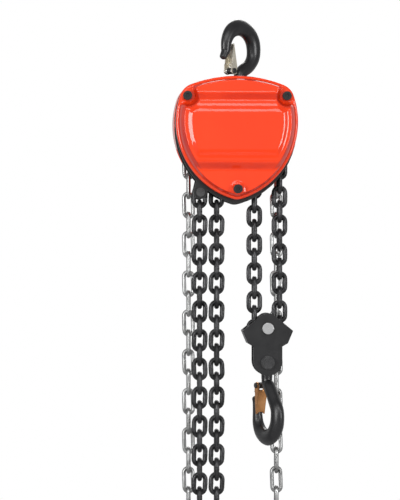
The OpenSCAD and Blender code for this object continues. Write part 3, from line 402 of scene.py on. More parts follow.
def band_rise(point, d, ear):
    """How far the band stands forward of the middle level, d inside the outline."""
    if d < BAND_BREAK_IN:
        across = (d - BAND_FOOT_IN) * BAND_WALL / (BAND_BREAK_IN - BAND_FOOT_IN)
    else:
        flat_share = (d - BAND_BREAK_IN) / (BAND_FLAT_IN - BAND_BREAK_IN)
        across = BAND_WALL + flat_share * (BAND_TOP - BAND_WALL)
    band = rounded_min(across, BAND_HALF - abs(point.y - BAND_MIDDLE), BAND_ROUND)
    band = rounded_min(band, (ear - EAR_FOOT - BAND_EAR_GAP) * BAND_EAR_SLOPE, BAND_EAR_ROUND)
    return (WALL_SLOPE * ramp_up(band, FOOT_BEND)
            + (CHAMFER_SLOPE - WALL_SLOPE) * ramp_up(band - BAND_WALL, WALL_BEND)
            + (STEP_SLOPE - CHAMFER_SLOPE) * ramp_up(band - BAND_STEP, STEP_BEND)
            - STEP_SLOPE * ramp_up(band - BAND_TOP, TOP_BEND))


def gear_cover_surface(ring, share):
    """The gear cover's wall, its rounded edge, and its pressed front, ring by ring."""
    if ring <= WALL_RINGS:
        point = shield(share, 0)
        return point.x, PLATE_Y + (FLANGE_Y + EDGE_R) * ring / WALL_RINGS, point.y
    ring -= WALL_RINGS
    if ring <= EDGE_RINGS:
        turn = ring / EDGE_RINGS * math.pi / 2
        point = shield(share, EDGE_R * (1 - math.cos(turn)))
        return point.x, PLATE_Y + FLANGE_Y + EDGE_R * (1 - math.sin(turn)), point.y
    ring -= EDGE_RINGS
    if ring <= RIM_RINGS:
        point = shield(share, EDGE_R + (RIM_IN - EDGE_R) * ring / RIM_RINGS)
    else:
        point = shield(share, RIM_IN) * (1 - (ring - RIM_RINGS) / INNER_RINGS)
    d = inside_by(point.x, point.y)
    ear = min((point - Vector(stay)).length for stay in STAYS[:2])
    middle = pressed(rounded_min(d - EDGE_FOOT, ear - EAR_FOOT, EAR_ROUND), EDGE_TOP - EDGE_FOOT)
    seat = pressed(SEAT_R - (point - Vector(STAYS[2])).length, SEAT_SLOPE, SEAT_BEND)
    forward = (FLANGE_Y - MIDDLE_Y) * middle + band_rise(point, d, ear) * min(middle, 1)
    return point.x, PLATE_Y + FLANGE_Y - forward - SEAT_RISE * seat * middle, point.y


bm = press(FRONT_RINGS, gear_cover_surface, -1)
bm.normal_update()
# Painted shade: points forward of the flange get a share of the darker wall colour, which grows as
# the surface turns away from facing front.
wall_shade_layer = bm.verts.layers.float.new("wall_shade")
for v in bm.verts:
    if v.co.y < PLATE_Y + FLANGE_Y - WALL_SHADE_BEHIND:
        v[wall_shade_layer] = min(1.0, WALL_SHADE_GAIN * (1 - abs(v.normal.y)))
bore_stays(bm)
thicken(finish_mesh("gear_cover_pressed", bm, "frame", enamel, "gear_cover"),
        GEAR_SHEET)

# The hand wheel cover is deeper, with a sunk panel, a round rib and a raised centre over the
# shaft's nut. The hand chain runs through a slot on each side.
back_low, back_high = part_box("hand_wheel_cover")
BACK_SHEET = 1.6
BACK_Y, BACK_PLATE_Y = back_high.y / MM, back_low.y / MM
BACK_EDGE, BACK_RIM_IN = 6.5, 14
BACK_EAR, BACK_EAR_ROUND = 11, 6
PANEL_IN, PANEL_SLOPE, PANEL_BEND, PANEL_DEEP = 12, 5, 1.2, 2.8
RIB_R, RIB_HALF, RIB_SLOPE, RIB_RISE = 30, 3.5, 2.5, 1.6
HUB_R, HUB_SLOPE = 22, 5
BACK_WALL_RINGS, BACK_EDGE_RINGS, BACK_RIM_RINGS, BACK_INNER_RINGS = 14, 7, 18, 26
BACK_RINGS = BACK_WALL_RINGS + BACK_EDGE_RINGS + BACK_RIM_RINGS + BACK_INNER_RINGS
SLOT_IN, SLOT_TOP, SLOT_LOW, SLOT_FRONT, SLOT_BACK = 46, -16, -66, 39.5, 60.5
SLOT_MARGIN = 6


def wheel_cover_surface(ring, share):
    """The hand wheel cover's wall, its rounded edge, and its pressed back, ring by ring."""
    if ring <= BACK_WALL_RINGS:
        point = shield(share, 0)
        deep = (BACK_Y - BACK_EDGE - BACK_PLATE_Y) * ring / BACK_WALL_RINGS
        return point.x, BACK_PLATE_Y + deep, point.y
    ring -= BACK_WALL_RINGS
    if ring <= BACK_EDGE_RINGS:
        turn = ring / BACK_EDGE_RINGS * math.pi / 2
        point = shield(share, BACK_EDGE * (1 - math.cos(turn)))
        return point.x, BACK_Y - BACK_EDGE * (1 - math.sin(turn)), point.y
    ring -= BACK_EDGE_RINGS
    if ring <= BACK_RIM_RINGS:
        point = shield(share, BACK_EDGE + (BACK_RIM_IN - BACK_EDGE) * ring / BACK_RIM_RINGS)
    else:
        point = shield(share, BACK_RIM_IN) * (1 - (ring - BACK_RIM_RINGS) / BACK_INNER_RINGS)
    d = inside_by(point.x, point.y)
    ear = min((point - Vector(stay)).length for stay in STAYS)
    panel = pressed(rounded_min(d - PANEL_IN, ear - BACK_EAR, BACK_EAR_ROUND), PANEL_SLOPE,
                    PANEL_BEND)
    out = math.hypot(point.x, point.y)
    rib = pressed(RIB_HALF - abs(out - RIB_R), RIB_SLOPE)
    hub = pressed(HUB_R - out, HUB_SLOPE)
    return point.x, BACK_Y - PANEL_DEEP * panel * (1 - hub) + RIB_RISE * rib * panel, point.y


def in_slot(p):
    """Whether a point lies in one of the two chain slots."""
    return (abs(p.x - AXIS_X) > SLOT_IN and SLOT_FRONT < p.y < SLOT_BACK
            and AXIS_Z + SLOT_LOW < p.z < AXIS_Z + SLOT_TOP)


bm = press(BACK_RINGS, wheel_cover_surface, 1)
for plane, normal in (((AXIS_X + SLOT_IN, 0, 0), (1, 0, 0)), ((AXIS_X - SLOT_IN, 0, 0), (1, 0, 0)),
                      ((0, SLOT_FRONT, 0), (0, 1, 0)), ((0, SLOT_BACK, 0), (0, 1, 0)),
                      ((0, 0, AXIS_Z + SLOT_TOP), (0, 0, 1))):
    near = [f for f in bm.faces if abs(f.calc_center_median().x - AXIS_X) > SLOT_IN - SLOT_MARGIN
            and f.calc_center_median().z < AXIS_Z + SLOT_TOP + SLOT_MARGIN]
    geom = list({v for f in near for v in f.verts}) + list({e for f in near for e in f.edges})
    bmesh.ops.bisect_plane(bm, geom=geom + near, plane_co=plane, plane_no=normal, dist=0.0001)
cut_out = [f for f in bm.faces if in_slot(f.calc_center_median())]
bmesh.ops.delete(bm, geom=cut_out, context="FACES")
bore_stays(bm)
thicken(finish_mesh("hand_wheel_cover_pressed", bm, "frame", enamel,
                    "hand_wheel_cover"), BACK_SHEET)

# ---- Side plates and fixings -----------------------------------------------------------------
# Two flame cut plates carry the bearings and stand on three stay bolts. They are dipped in black
# paint, as are the domed nuts that hold the covers. Their cut edges are lightly broken.
nodes = frame["nodes"]
WELD_GAP = 0.00001
FLAT_WITHIN, SHARP_OVER = math.radians(1), math.radians(40)


def finish(name, colour, gloss, grain=None, drawn=(1, 1, 1), **sockets):
    """A mottled finish. Colour and gloss are a noise's scale and detail and its two stops, and
    grain is a noise's scale and detail and the depth and strength of its bump."""
    material, tree, shader = graph(name, **sockets)
    mottle(tree, shader, "Base Color", *colour)
    mottle(tree, shader, "Roughness", *gloss)
    if grain:
        scale, detail, depth, strength = grain
        bump(tree, shader, speckle(tree, scale, detail, drawn), depth, strength)
    return material


def dress(names, material, edge=0.0, segments=2):
    """Gives CAD nodes their finish and, where edge is set, rounds their sharp edges by it."""
    for name in names:
        piece = nodes[name]
        piece.data.materials.clear()
        piece.data.materials.append(material)
        if edge:
            weld = piece.modifiers.new("weld", "WELD")
            weld.merge_threshold = WELD_GAP
            flat = piece.modifiers.new("flat_faces", "DECIMATE")
            flat.decimate_type = "DISSOLVE"
            flat.angle_limit = FLAT_WITHIN
            soft = piece.modifiers.new("broken_edge", "BEVEL")
            soft.width = edge * MM
            soft.segments = segments
            soft.limit_method = "ANGLE"
            soft.angle_limit = SHARP_OVER
            soft.harden_normals = True


plate_paint = finish("black_plate_paint", IOR=1.45, Coat_Weight=0.15, Coat_Roughness=0.3,
                     colour=(30.0, 5.0, (0.3, (0.008, 0.008, 0.009)), (0.7, (0.017, 0.017, 0.018))),
                     gloss=(90.0, 4.0, (0.3, 0.34), (0.7, 0.5)),
                     grain=(900.0, 3.0, 0.00008, 0.5))
dress(["front_plate", "rear_plate", "bearing_plate"], plate_paint, 0.35)
dress(["front_cover_nuts", "rear_cover_nuts"], plate_paint, 0.6, 3)

# ---- Chains ----------------------------------------------------------------------------------
# Both chains are bent from round wire and butt welded on one straight side, which leaves a low
# bead. The load chain is hardened and black, the hand chain is softer and bright zinc plated.
LOAD_WIRE, LOAD_W, LOAD_L = 6, 20, 30
HAND_WIRE, HAND_W, HAND_L = 5, 16, 35
RIDING_SLIMMER = 0.1
WIRE_SIDES, BEND_STEPS, STRAIGHT_STEPS = 12, 9, 6
WELD_SIDE, WELD_RISE, WELD_HALF = 0.4, 0.05, 1.08
# A link of the CAD deeper than this, in metres, lies front to back, and a long axis that leans
# back by less than this is upright.
EDGE_ON_DEPTH, LEAN_BACK = 0.011, 0.5

black_chain = finish("black_chain", Metallic=0.6, IOR=1.5,
                     colour=(70.0, 5.0,
                             (0.32, (0.012, 0.012, 0.013)), (0.72, (0.062, 0.062, 0.065))),
                     gloss=(160.0, 4.0, (0.3, 0.2), (0.7, 0.42)),
                     grain=(700.0, 3.0, 0.00012, 0.5))
zinc = finish("zinc_plate", Metallic=1.0,
              colour=(55.0, 5.0, (0.3, (0.24, 0.24, 0.237)), (0.7, (0.50, 0.505, 0.505))),
              gloss=(150.0, 4.0, (0.3, 0.24), (0.7, 0.46)),
              grain=(800.0, 3.0, 0.0001, 0.4))


def chain_link(wire, width, length):
    """One link, standing along Z and flat in the XZ plane, in millimetres."""
    bend = (width - wire) / 2
    straight = length / 2 - width / 2
    bm = bmesh.new()
    foot = Matrix.Translation((bend, 0, -straight))
    ring = bmesh.ops.create_circle(bm, segments=WIRE_SIDES, radius=wire / 2, matrix=foot)["verts"]
    edges = list({e for v in ring for e in v.link_edges})
    for _ in range(STRAIGHT_STEPS):
        grown = bmesh.ops.extrude_edge_only(bm, edges=edges)["geom"]
        moved = [v for v in grown if isinstance(v, bmesh.types.BMVert)]
        bmesh.ops.translate(bm, verts=moved, vec=(0, 0, 2 * straight / STRAIGHT_STEPS))
        edges = [e for e in grown if isinstance(e, bmesh.types.BMEdge)]
    bmesh.ops.spin(bm, geom=edges, cent=(0, 0, straight), axis=(0, -1, 0), angle=math.pi,
                   steps=BEND_STEPS, use_duplicate=False)
    half = bm.verts[:] + bm.edges[:] + bm.faces[:]
    copy = bmesh.ops.duplicate(bm, geom=half)["geom"]
    bmesh.ops.rotate(bm, verts=[v for v in copy if isinstance(v, bmesh.types.BMVert)],
                     cent=(0, 0, 0), matrix=Matrix.Rotation(math.pi, 3, "Y"))
    bmesh.ops.remove_doubles(bm, verts=bm.verts, dist=0.01)
    for v in bm.verts:
        if v.co.x > bend * WELD_SIDE and abs(v.co.z) < WELD_HALF:
            middle = Vector((bend, 0, v.co.z))
            v.co = middle + (v.co - middle) * (1 + WELD_RISE)
    bmesh.ops.recalc_face_normals(bm, faces=bm.faces)
    return bm


def places_of_links(node):
    """Where each link of a CAD chain lies: its middle, its long axis and its wide axis."""
    bm = bmesh.new()
    bm.from_mesh(nodes[node].data)
    bmesh.ops.remove_doubles(bm, verts=bm.verts, dist=0.000001)
    bm.verts.ensure_lookup_table()
    reached, found = set(), []
    for start in bm.verts:
        if start in reached:
            continue
        island, front = [], [start]
        reached.add(start)
        while front:
            v = front.pop()
            island.append(v.co.copy())
            for e in v.link_edges:
                other = e.other_vert(v)
                if other not in reached:
                    reached.add(other)
                    front.append(other)
        found.append(island)
    bm.free()
    places = []
    for island in found:
        low = Vector(min(p[k] for p in island) for k in range(3))
        high = Vector(max(p[k] for p in island) for k in range(3))
        middle = (low + high) / 2
        far = max(island, key=lambda p: ((p - middle).length, p.z, p.x))
        long_axis = (far - middle).normalized()
        long_axis.y = 0 if abs(long_axis.y) < LEAN_BACK else long_axis.y
        long_axis.normalize()
        if long_axis.z < 0:
            long_axis.negate()
        deep = Vector((0, 1, 0))
        across = deep if high.y - low.y > EDGE_ON_DEPTH else long_axis.cross(deep)
        places.append((middle, long_axis, across.normalized()))
    return sorted(places, key=lambda place: (round(place[0].z, 5), place[0].x))


def lay_chain(name, node, body, wire, width, length, material):
    """Lays one link over each link of a CAD chain, every other pair with its weld turned."""
    link = chain_link(wire, width, length)
    one = bpy.data.meshes.new("one_link")
    bmesh.ops.scale(link, verts=link.verts, vec=(MM, MM, MM))
    link.to_mesh(one)
    link.free()
    bm = bmesh.new()
    for k, (middle, long_axis, across) in enumerate(places_of_links(node)):
        if k % 4 > 1:
            across.negate()
        thin = long_axis.cross(across)
        turn = Matrix((across, thin, long_axis)).transposed().to_4x4()
        before = len(bm.verts)
        bm.from_mesh(one)
        bm.verts.ensure_lookup_table()
        bmesh.ops.transform(bm, matrix=Matrix.Translation(middle) @ turn, verts=bm.verts[before:])
    bmesh.ops.recalc_face_normals(bm, faces=bm.faces)
    bpy.data.meshes.remove(one)
    finish_mesh(name, bm, body, material, node, scale=1)


for node, body in (("load_chain_slack", "frame"), ("load_chain_on_sheave", "frame"),
                   ("load_chain_upper_falls", "frame"), ("load_chain_lower_falls", "block"),
                   ("load_chain_on_idler", "block")):
    shrink = RIDING_SLIMMER if body == "block" else 0.0
    lay_chain(node + "_links", node, body, LOAD_WIRE - shrink, LOAD_W - shrink, LOAD_L - shrink,
              black_chain)
lay_chain("hand_chain_links", "hand_chain", "frame", HAND_WIRE, HAND_W, HAND_L, zinc)

# ---- Hooks -----------------------------------------------------------------------------------
# Drop forged hooks with a round shank and a thick bowl, trimmed along a flash line and painted
# satin black. A nut on the shank carries each in its yoke. The latch is riveted to a small lug.
BOWL_R = 18
HOOK_DEEP, HOOK_THICK, SHANK_D = 20.5, 17, 14
TOP_NOSE, BOTTOM_NOSE = 30, 39
TOP_TURN, BOTTOM_TURN = math.radians(43), math.radians(-66)
NECK_OVER_LUG, LUG_OVER_NOSE = 5.5, 15
LUG_X, LUG_R, LUG_HALF, LUG_EDGE = -16, 4.0, 3, 0.6
WEB_LONG, WEB_THICK, WEB_TALL, WEB_OVER_LUG, WEB_EDGE = 14, 5.6, 4.4, 1.4, 0.8
INSIDE_NARROWING, FLASH_HALF, FLASH_RISE = 0.16, 0.12, 0.012
RING_SIDES, RING_STEPS, LOOK_AHEAD = 28, 5, 0.1
FORGED_FROM, FORGED_TO, FORGED_BLEND = 1, 11, 2

forged, tree, shader = graph("forged_black_paint", IOR=1.45, Coat_Weight=0.25, Coat_Roughness=0.28)
mottle(tree, shader, "Base Color", 26.0, 5.0,
       (0.3, (0.007, 0.007, 0.008)), (0.7, (0.015, 0.015, 0.017)))
mottle(tree, shader, "Roughness", 70.0, 4.0, (0.3, 0.3), (0.7, 0.48))
lumps = bump(tree, shader, speckle(tree, 130.0, 3.0), 0.0006, 0.35)
bump(tree, shader, speckle(tree, 800.0, 2.0), 0.0001, 0.5, under=lumps)


def on_bowl(angle, wide, thick):
    """A section of the forging on the bowl, at an angle round it in degrees."""
    a = math.radians(angle)
    r = BOWL_R + wide / 2
    return Vector((r * math.cos(a), BOWL_R + r * math.sin(a), wide, thick))


def hook_stations(nose):
    """Centre x and z, width and thickness of the forging, from the neck round to the nose."""
    neck = nose + LUG_OVER_NOSE + NECK_OVER_LUG
    return [
        Vector((0, neck + 3, SHANK_D - 0.5, SHANK_D - 0.5)),
        Vector((1.2, neck - 2, SHANK_D + 0.5, SHANK_D - 0.3)),
        Vector((7, neck - 7, HOOK_DEEP - 4, HOOK_THICK - 2.5)),
        on_bowl(44, HOOK_DEEP - 3.5, HOOK_THICK - 2),
        on_bowl(12, HOOK_DEEP - 1.5, HOOK_THICK - 1),
        on_bowl(-25, HOOK_DEEP - 0.3, HOOK_THICK),
        on_bowl(-58, HOOK_DEEP, HOOK_THICK),
        on_bowl(-90, HOOK_DEEP, HOOK_THICK),
        on_bowl(-122, HOOK_DEEP - 2, HOOK_THICK - 1),
        on_bowl(-152, HOOK_DEEP - 5.5, HOOK_THICK - 3),
        Vector((-BOWL_R - 6.3, BOWL_R + 1, HOOK_DEEP - 8, HOOK_THICK - 5)),
        Vector((-BOWL_R - 8.2, nose - 7, HOOK_DEEP - 10.5, HOOK_THICK - 6.5)),
        Vector((-BOWL_R - 11.5, nose - 1.5, HOOK_DEEP - 12.3, HOOK_THICK - 8)),
        Vector((-BOWL_R - 12.6, nose, HOOK_DEEP - 17, HOOK_THICK - 13)),
    ]


def between(stations, at):
    """A smooth path through the stations."""
    k = min(int(at), len(stations) - 2)
    t = at - k
    a, b = stations[max(k - 1, 0)], stations[k]
    c, d = stations[k + 1], stations[min(k + 2, len(stations) - 1)]
    return (2 * b + (c - a) * t + (2 * a - 5 * b + 4 * c - d) * t ** 2
            + (3 * b - a - 3 * c + d) * t ** 3) / 2


def hook_ring(bm, x, z, along, wide, thick, forged_shape):
    """One section of the forging: a circle drawn out, fuller towards the bowl."""
    side = Vector((-along.y, 0, along.x))
    deep = Vector((0, 1, 0))
    turn = Matrix((side, deep, side.cross(deep))).transposed().to_4x4()
    verts = bmesh.ops.create_circle(bm, segments=RING_SIDES, radius=1)["verts"]
    for v in verts:
        a, b = v.co.x, v.co.y
        v.co.x = a * wide / 2
        v.co.y = b * thick / 2 * (1 - forged_shape * INSIDE_NARROWING * max(a, 0) ** 2)
        if forged_shape and abs(b) < FLASH_HALF:
            v.co.x *= 1.0 + FLASH_RISE * forged_shape
    bmesh.ops.transform(bm, matrix=Matrix.Translation((x, 0, z)) @ turn, verts=verts)
    return list({e for v in verts for e in v.link_edges})


def soften(bm, edges, offset, segments):
    """Rounds edges of the forging."""
    bmesh.ops.bevel(bm, geom=edges, offset=offset, offset_type="OFFSET", segments=segments,
                    profile=0.5, affect="EDGES", material=-1)


def forge(nose, shank_top):
    """A hook with its bowl's bottom at the origin, from its shank's end round to its nose."""
    stations = hook_stations(nose)
    lug_z = nose + LUG_OVER_NOSE
    neck = lug_z + NECK_OVER_LUG
    last = len(stations) - 1
    bm = bmesh.new()
    loops = []
    straight_down = Vector((0, -1))
    for z, d in ((shank_top, SHANK_D - 2), (shank_top - 1, SHANK_D),
                 ((shank_top + neck) / 2, SHANK_D), (neck + 12, SHANK_D), (neck + 6, SHANK_D)):
        loops.append(hook_ring(bm, 0, z, straight_down, d, d, 0))
    for i in range(last * RING_STEPS + 1):
        at = i / RING_STEPS
        p = between(stations, at)
        ahead = (between(stations, min(at + LOOK_AHEAD, last))
                 - between(stations, max(at - LOOK_AHEAD, 0)))
        shape = (min(max((at - FORGED_FROM) / FORGED_BLEND, 0), 1)
                 * min(max((FORGED_TO - at) / FORGED_BLEND, 0), 1))
        loops.append(hook_ring(bm, p[0], p[1], ahead.xy.normalized(), p[2], p[3], shape))
    for a, b in zip(loops, loops[1:]):
        bmesh.ops.bridge_loops(bm, edges=a + b)
    for edges in (loops[0], loops[-1]):
        bmesh.ops.holes_fill(bm, edges=edges, sides=0)
    for half in (-1, 1):
        place = Matrix.Translation((LUG_X, half * LUG_HALF / 2, lug_z))
        lug = bmesh.ops.create_cone(bm, cap_ends=True, segments=24, radius1=LUG_R, radius2=LUG_R,
                                    depth=LUG_HALF,
                                    matrix=place @ Matrix.Rotation(math.pi / 2, 4, "X"))["verts"]
        rim = [e for e in {e for v in lug for e in v.link_edges}
               if all(abs(v.co.y) > LUG_HALF - 0.1 for v in e.verts)]
        soften(bm, rim, LUG_EDGE, 2)
    web = bmesh.ops.create_cube(bm, size=1)["verts"]
    place = Matrix.Translation((LUG_X / 2 - 1, 0, lug_z + WEB_OVER_LUG))
    size = Matrix.Diagonal((WEB_LONG, WEB_THICK, WEB_TALL, 1))
    bmesh.ops.transform(bm, verts=web, matrix=place @ size)
    soften(bm, list({e for v in web for e in v.link_edges}), WEB_EDGE, 3)
    bmesh.ops.recalc_face_normals(bm, faces=bm.faces)
    return bm


shank_low, shank_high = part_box("bottom_hook")
top_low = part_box("top_hook")[0]
joint_of = {joint["name"]: joint for joint in frame["joints"]}
swivel = Vector(joint_of["bottom_hook_swivel"]["pos_m"]) / MM
saddle_z = shank_low.z / MM + HOOK_DEEP
TOP_PLACE = Matrix.Rotation(TOP_TURN, 4, "Z") @ Matrix.Rotation(math.pi, 4, "X")
BOTTOM_PLACE = (Matrix.Translation((swivel.x, swivel.y, saddle_z))
                @ Matrix.Rotation(BOTTOM_TURN, 4, "Z"))
for hook, nose, shank_top, place in (
        ("top_hook", TOP_NOSE, -top_low.z / MM, TOP_PLACE),
        ("bottom_hook", BOTTOM_NOSE, shank_high.z / MM - saddle_z, BOTTOM_PLACE)):
    bm = forge(nose, shank_top)
    bmesh.ops.transform(bm, matrix=place, verts=bm.verts)
    finish_mesh(hook + "_forging", bm, hook, forged, hook)

# ---- Latches ---------------------------------------------------------------------------------
# Each safety latch is a channel folded from thin sheet. Its two cheeks straddle the lug on a
# rivet and its notched end closes against the nose's inside. The top one is nickel plated and
# the bottom one copper plated.
LATCH_HALF_W, LATCH_SHEET, LATCH_EDGE = 6.4, 1.3, 0.2
LATCH_WEB_SHORT, WEB_CLEAR_OF_LUG = 6.0, 5.9
FREE_UNDER_NOSE, FREE_GAP = 19, 0.9
RIVET_END, CHEEK_TOP_IN, CHEEK_CROWN = 4.4, 4.6, 2.0
CHEEK_TOP_RISE, CHEEK_OUT_RISE, CHEEK_OUT_FALL = 3.2, 1.4, 9
CHEEK_DEEP, CHEEK_FADE, CHEEK_LIP, CHEEK_DROP = 9.5, 0.8, 0.6, 0.8
OPEN_SHARE, FREE_END_SHARE = 0.34, 0.97
NOTCH_HALF, NOTCH_FROM = 0.62, 0.86
LATCH_ROWS, CHEEK_COLUMNS, WEB_COLUMNS = 22, 6, 10
FOLD_SHARP, FOLD_R = 1.0, 1.0
SHEARED_OVER = math.radians(50)

nickel = finish("nickel_plate", Metallic=0.8,
                colour=(60.0, 4.0, (0.3, (0.74, 0.68, 0.55)), (0.7, (0.92, 0.88, 0.76))),
                gloss=(140.0, 4.0, (0.3, 0.22), (0.7, 0.42)),
                grain=(500.0, 3.0, 0.00005, 0.4), drawn=(1, 1, 0.2))
copper = finish("copper_plate", Metallic=0.9,
                colour=(60.0, 4.0, (0.3, (0.50, 0.22, 0.08)), (0.7, (0.72, 0.37, 0.16))),
                gloss=(140.0, 4.0, (0.3, 0.26), (0.7, 0.46)),
                grain=(500.0, 3.0, 0.00005, 0.4), drawn=(1, 1, 0.2))


def fold_latch(nose, notch):
    """A flat grid moved into a channel, with columns for cheek, web and cheek, and rows from
    the lug to the nose. The rows at the lug have no web."""
    lug_z = nose + LUG_OVER_NOSE
    free = min(nose - FREE_UNDER_NOSE, BOWL_R)
    free_end = Vector((-math.sqrt(BOWL_R ** 2 - (BOWL_R - free) ** 2) + FREE_GAP, free))
    web_top = Vector((LUG_X + WEB_CLEAR_OF_LUG, lug_z - LATCH_WEB_SHORT))
    cheek_top = Vector((LUG_X + CHEEK_TOP_IN, lug_z + CHEEK_TOP_RISE))
    outer_top = Vector((LUG_X - RIVET_END, lug_z + CHEEK_OUT_RISE))
    outer_low = Vector((LUG_X - RIVET_END, lug_z - CHEEK_OUT_FALL))
    columns = 2 * CHEEK_COLUMNS + WEB_COLUMNS
    bm = bmesh.new()
    bmesh.ops.create_grid(bm, x_segments=columns, y_segments=LATCH_ROWS, size=1)
    open_faces = []
    for f in bm.faces:
        c = f.calc_center_median()
        column = (c.x + 1) / 2 * columns
        if CHEEK_COLUMNS < column < columns - CHEEK_COLUMNS and (c.y + 1) / 2 < OPEN_SHARE:
            open_faces.append(f)
    bmesh.ops.delete(bm, geom=open_faces, context="FACES")
    for v in bm.verts:
        column = round((v.co.x + 1) / 2 * columns)
        down = (v.co.y + 1) / 2
        cheek = max(0, abs(column - columns / 2) - WEB_COLUMNS / 2) / CHEEK_COLUMNS
        across = max(-1, min(1, (column - columns / 2) / (WEB_COLUMNS / 2)))
        crown = lift = 0
        if down < OPEN_SHARE:
            t = down / OPEN_SHARE
            inner = cheek_top.lerp(web_top, t)
            outer = outer_top.lerp(outer_low, t)
            crown = (1 - t) ** 3 * CHEEK_CROWN * (1 - (2 * cheek - 1) ** 2)
        else:
            t = (down - OPEN_SHARE) / (1 - OPEN_SHARE)
            inner = web_top.lerp(free_end, t)
            deep = (1 - t) ** CHEEK_FADE * CHEEK_DEEP if t < FREE_END_SHARE else CHEEK_LIP
            outer = inner + Vector((-max(deep, CHEEK_LIP), -CHEEK_DROP * (1 - t)))
        if cheek == 0:
            curve = max(0, 1 - (across / NOTCH_HALF) ** 2) ** 0.5
            lift = notch * curve * max(0, (down - NOTCH_FROM) / (1 - NOTCH_FROM))
        spot = inner.lerp(outer, cheek)
        v.co = Vector((spot.x, across * LATCH_HALF_W, spot.y + crown + lift))
    folds = [e for e in bm.edges if len(e.link_faces) == 2 and e.calc_face_angle(0) > FOLD_SHARP]
    bmesh.ops.bevel(bm, geom=folds, offset=FOLD_R, offset_type="OFFSET", segments=3, profile=0.5,
                    affect="EDGES", material=-1)
    bmesh.ops.recalc_face_normals(bm, faces=bm.faces)
    web_middle = web_top.lerp(free_end, 0.5)
    middle = min(bm.faces, key=lambda f: (f.calc_center_median().xz - web_middle).length
                 + abs(f.calc_center_median().y))
    if middle.normal.x < 0:
        bmesh.ops.reverse_faces(bm, faces=bm.faces)
    return bm


dress(["top_latch_rivet", "bottom_latch_rivet"], forged, 0.5, 3)
for name, nose, notch, place, material, slot in (
        ("top_latch", TOP_NOSE, 0.6, TOP_PLACE, nickel, "latch_nickel"),
        ("bottom_latch", BOTTOM_NOSE, 2.6, BOTTOM_PLACE, copper, "latch_bronze")):
    bm = fold_latch(nose, notch)
    bmesh.ops.transform(bm, matrix=place, verts=bm.verts)
    latch = finish_mesh(name + "_channel", bm, name, material, name)
    thicken(latch, LATCH_SHEET)
    soft = latch.modifiers.new("sheared_edge", "BEVEL")
    soft.width = LATCH_EDGE * MM
    soft.segments = 2
    soft.limit_method = "ANGLE"
    soft.angle_limit = SHEARED_OVER

# ---- Shafts, nuts, pins and springs ----------------------------------------------------------
# Turned steel parts: the stays, the pins, the shaft ends and their nuts, with the springs, split
# pins and bearings. They are left bright and lightly oiled, with fine turning marks.
bright = finish("bright_steel", Metallic=1.0,
                colour=(80.0, 4.0, (0.3, (0.68, 0.68, 0.68)), (0.7, (0.90, 0.90, 0.91))),
                gloss=(200.0, 4.0, (0.3, 0.24), (0.7, 0.34)),
                grain=(900.0, 2.0, 0.00003, 0.2))

axle_low, axle_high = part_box("idle_axle")
turned, tree, shader = graph("turned_axle_end", Metallic=1.0)
where = tree.nodes.new("ShaderNodeTexCoord")
centred = tree.nodes.new("ShaderNodeMapping")
centred.inputs["Location"].default_value = (-(axle_low.x + axle_high.x) / 2, 0,
                                            -(axle_low.z + axle_high.z) / 2)
rings = tree.nodes.new("ShaderNodeTexWave")
rings.wave_type = "RINGS"
rings.rings_direction = "Y"
rings.inputs["Scale"].default_value = 260
rings.inputs["Distortion"].default_value = 1.5
tree.links.new(where.outputs["Object"], centred.inputs["Vector"])
tree.links.new(centred.outputs["Vector"], rings.inputs["Vector"])
turning_marks = [(0.2, (0.62, 0.62, 0.63)), (0.8, (0.93, 0.93, 0.94))]
tree.links.new(ramp(tree, rings.outputs["Fac"], turning_marks), shader.inputs["Base Color"])
mottle(tree, shader, "Roughness", 200.0, 4.0, (0.3, 0.28), (0.7, 0.36))
bump(tree, shader, rings.outputs["Fac"], 0.00005, 0.25)

dress(["idle_axle"], turned, 0.3)
dress(["idle_axle_washer", "fall_anchor_pin", "hand_wheel_nut", "drive_shaft", "stay_bolts",
       "top_hook_pin", "bottom_hook_pin", "load_gear_clip"], bright, 0.3)
dress(["slack_anchor_split_pin", "hand_wheel_split_pin", "pawl_springs", "top_latch_spring",
       "bottom_latch_spring", "front_load_bearing", "rear_load_bearing"], bright)

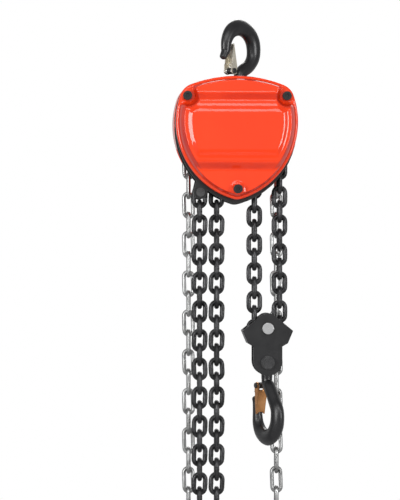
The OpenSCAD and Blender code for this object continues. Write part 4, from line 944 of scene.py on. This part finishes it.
# ---- Gears, brake and sheaves ----------------------------------------------------------------
# Hobbed gears and machined castings, kept oiled, that run between the plates and under the
# covers. The friction discs are pressed lining, and the ratchet turns on a sintered bush.
geared = finish("oiled_gear_steel", Metallic=1.0,
                colour=(50.0, 4.0, (0.3, (0.20, 0.20, 0.21)), (0.7, (0.36, 0.36, 0.37))),
                gloss=(160.0, 4.0, (0.3, 0.26), (0.7, 0.44)),
                grain=(900.0, 2.0, 0.00006, 0.4))
casting = finish("iron_casting", Metallic=0.6,
                 colour=(40.0, 5.0, (0.3, (0.05, 0.05, 0.052)), (0.7, (0.11, 0.11, 0.112))),
                 gloss=(120.0, 4.0, (0.3, 0.42), (0.7, 0.62)),
                 grain=(350.0, 4.0, 0.0003, 0.5))
lining = finish("friction_lining",
                colour=(300.0, 5.0, (0.3, (0.09, 0.05, 0.03)), (0.7, (0.2, 0.13, 0.08))),
                gloss=(200.0, 4.0, (0.3, 0.6), (0.7, 0.85)))
sintered = finish("sintered_bronze", Metallic=1.0,
                  colour=(200.0, 5.0, (0.3, (0.32, 0.2, 0.08)), (0.7, (0.5, 0.34, 0.15))),
                  gloss=(200.0, 4.0, (0.3, 0.35), (0.7, 0.55)))
dress(["load_gear", "left_disc_gear", "right_disc_gear", "ratchet_disc", "upper_pawl",
       "lower_pawl", "pawl_studs", "top_hook_nut", "bottom_hook_nut", "top_yoke",
       "chain_guide_pins"], geared, 0.25)
dress(["load_sheave", "idle_sheave", "hand_wheel", "brake_hub", "chain_stripper"], casting, 0.4)
dress(["inner_friction_disc", "outer_friction_disc"], lining, 0.2)
dress(["ratchet_bush"], sintered, 0.2)

# ---- Hook block ------------------------------------------------------------------------------
# Two pressed plates with bent side lips, dipped in black paint, hold the idle sheave on its
# bright axle and the swivel yoke of the bottom hook under it. The yoke and its nuts are
# blackened, as is the pin of the slack end.
oxide = finish("black_oxide", Metallic=0.5,
               colour=(60.0, 4.0, (0.3, (0.05, 0.05, 0.052)), (0.7, (0.12, 0.12, 0.122))),
               gloss=(200.0, 4.0, (0.3, 0.22), (0.7, 0.4)),
               grain=(900.0, 2.0, 0.00006, 0.4))
dress(["front_block_plate", "rear_block_plate"], plate_paint, 0.7, 3)
dress(["block_yoke", "block_yoke_nuts", "slack_anchor_pin"], oxide, 0.5, 3)
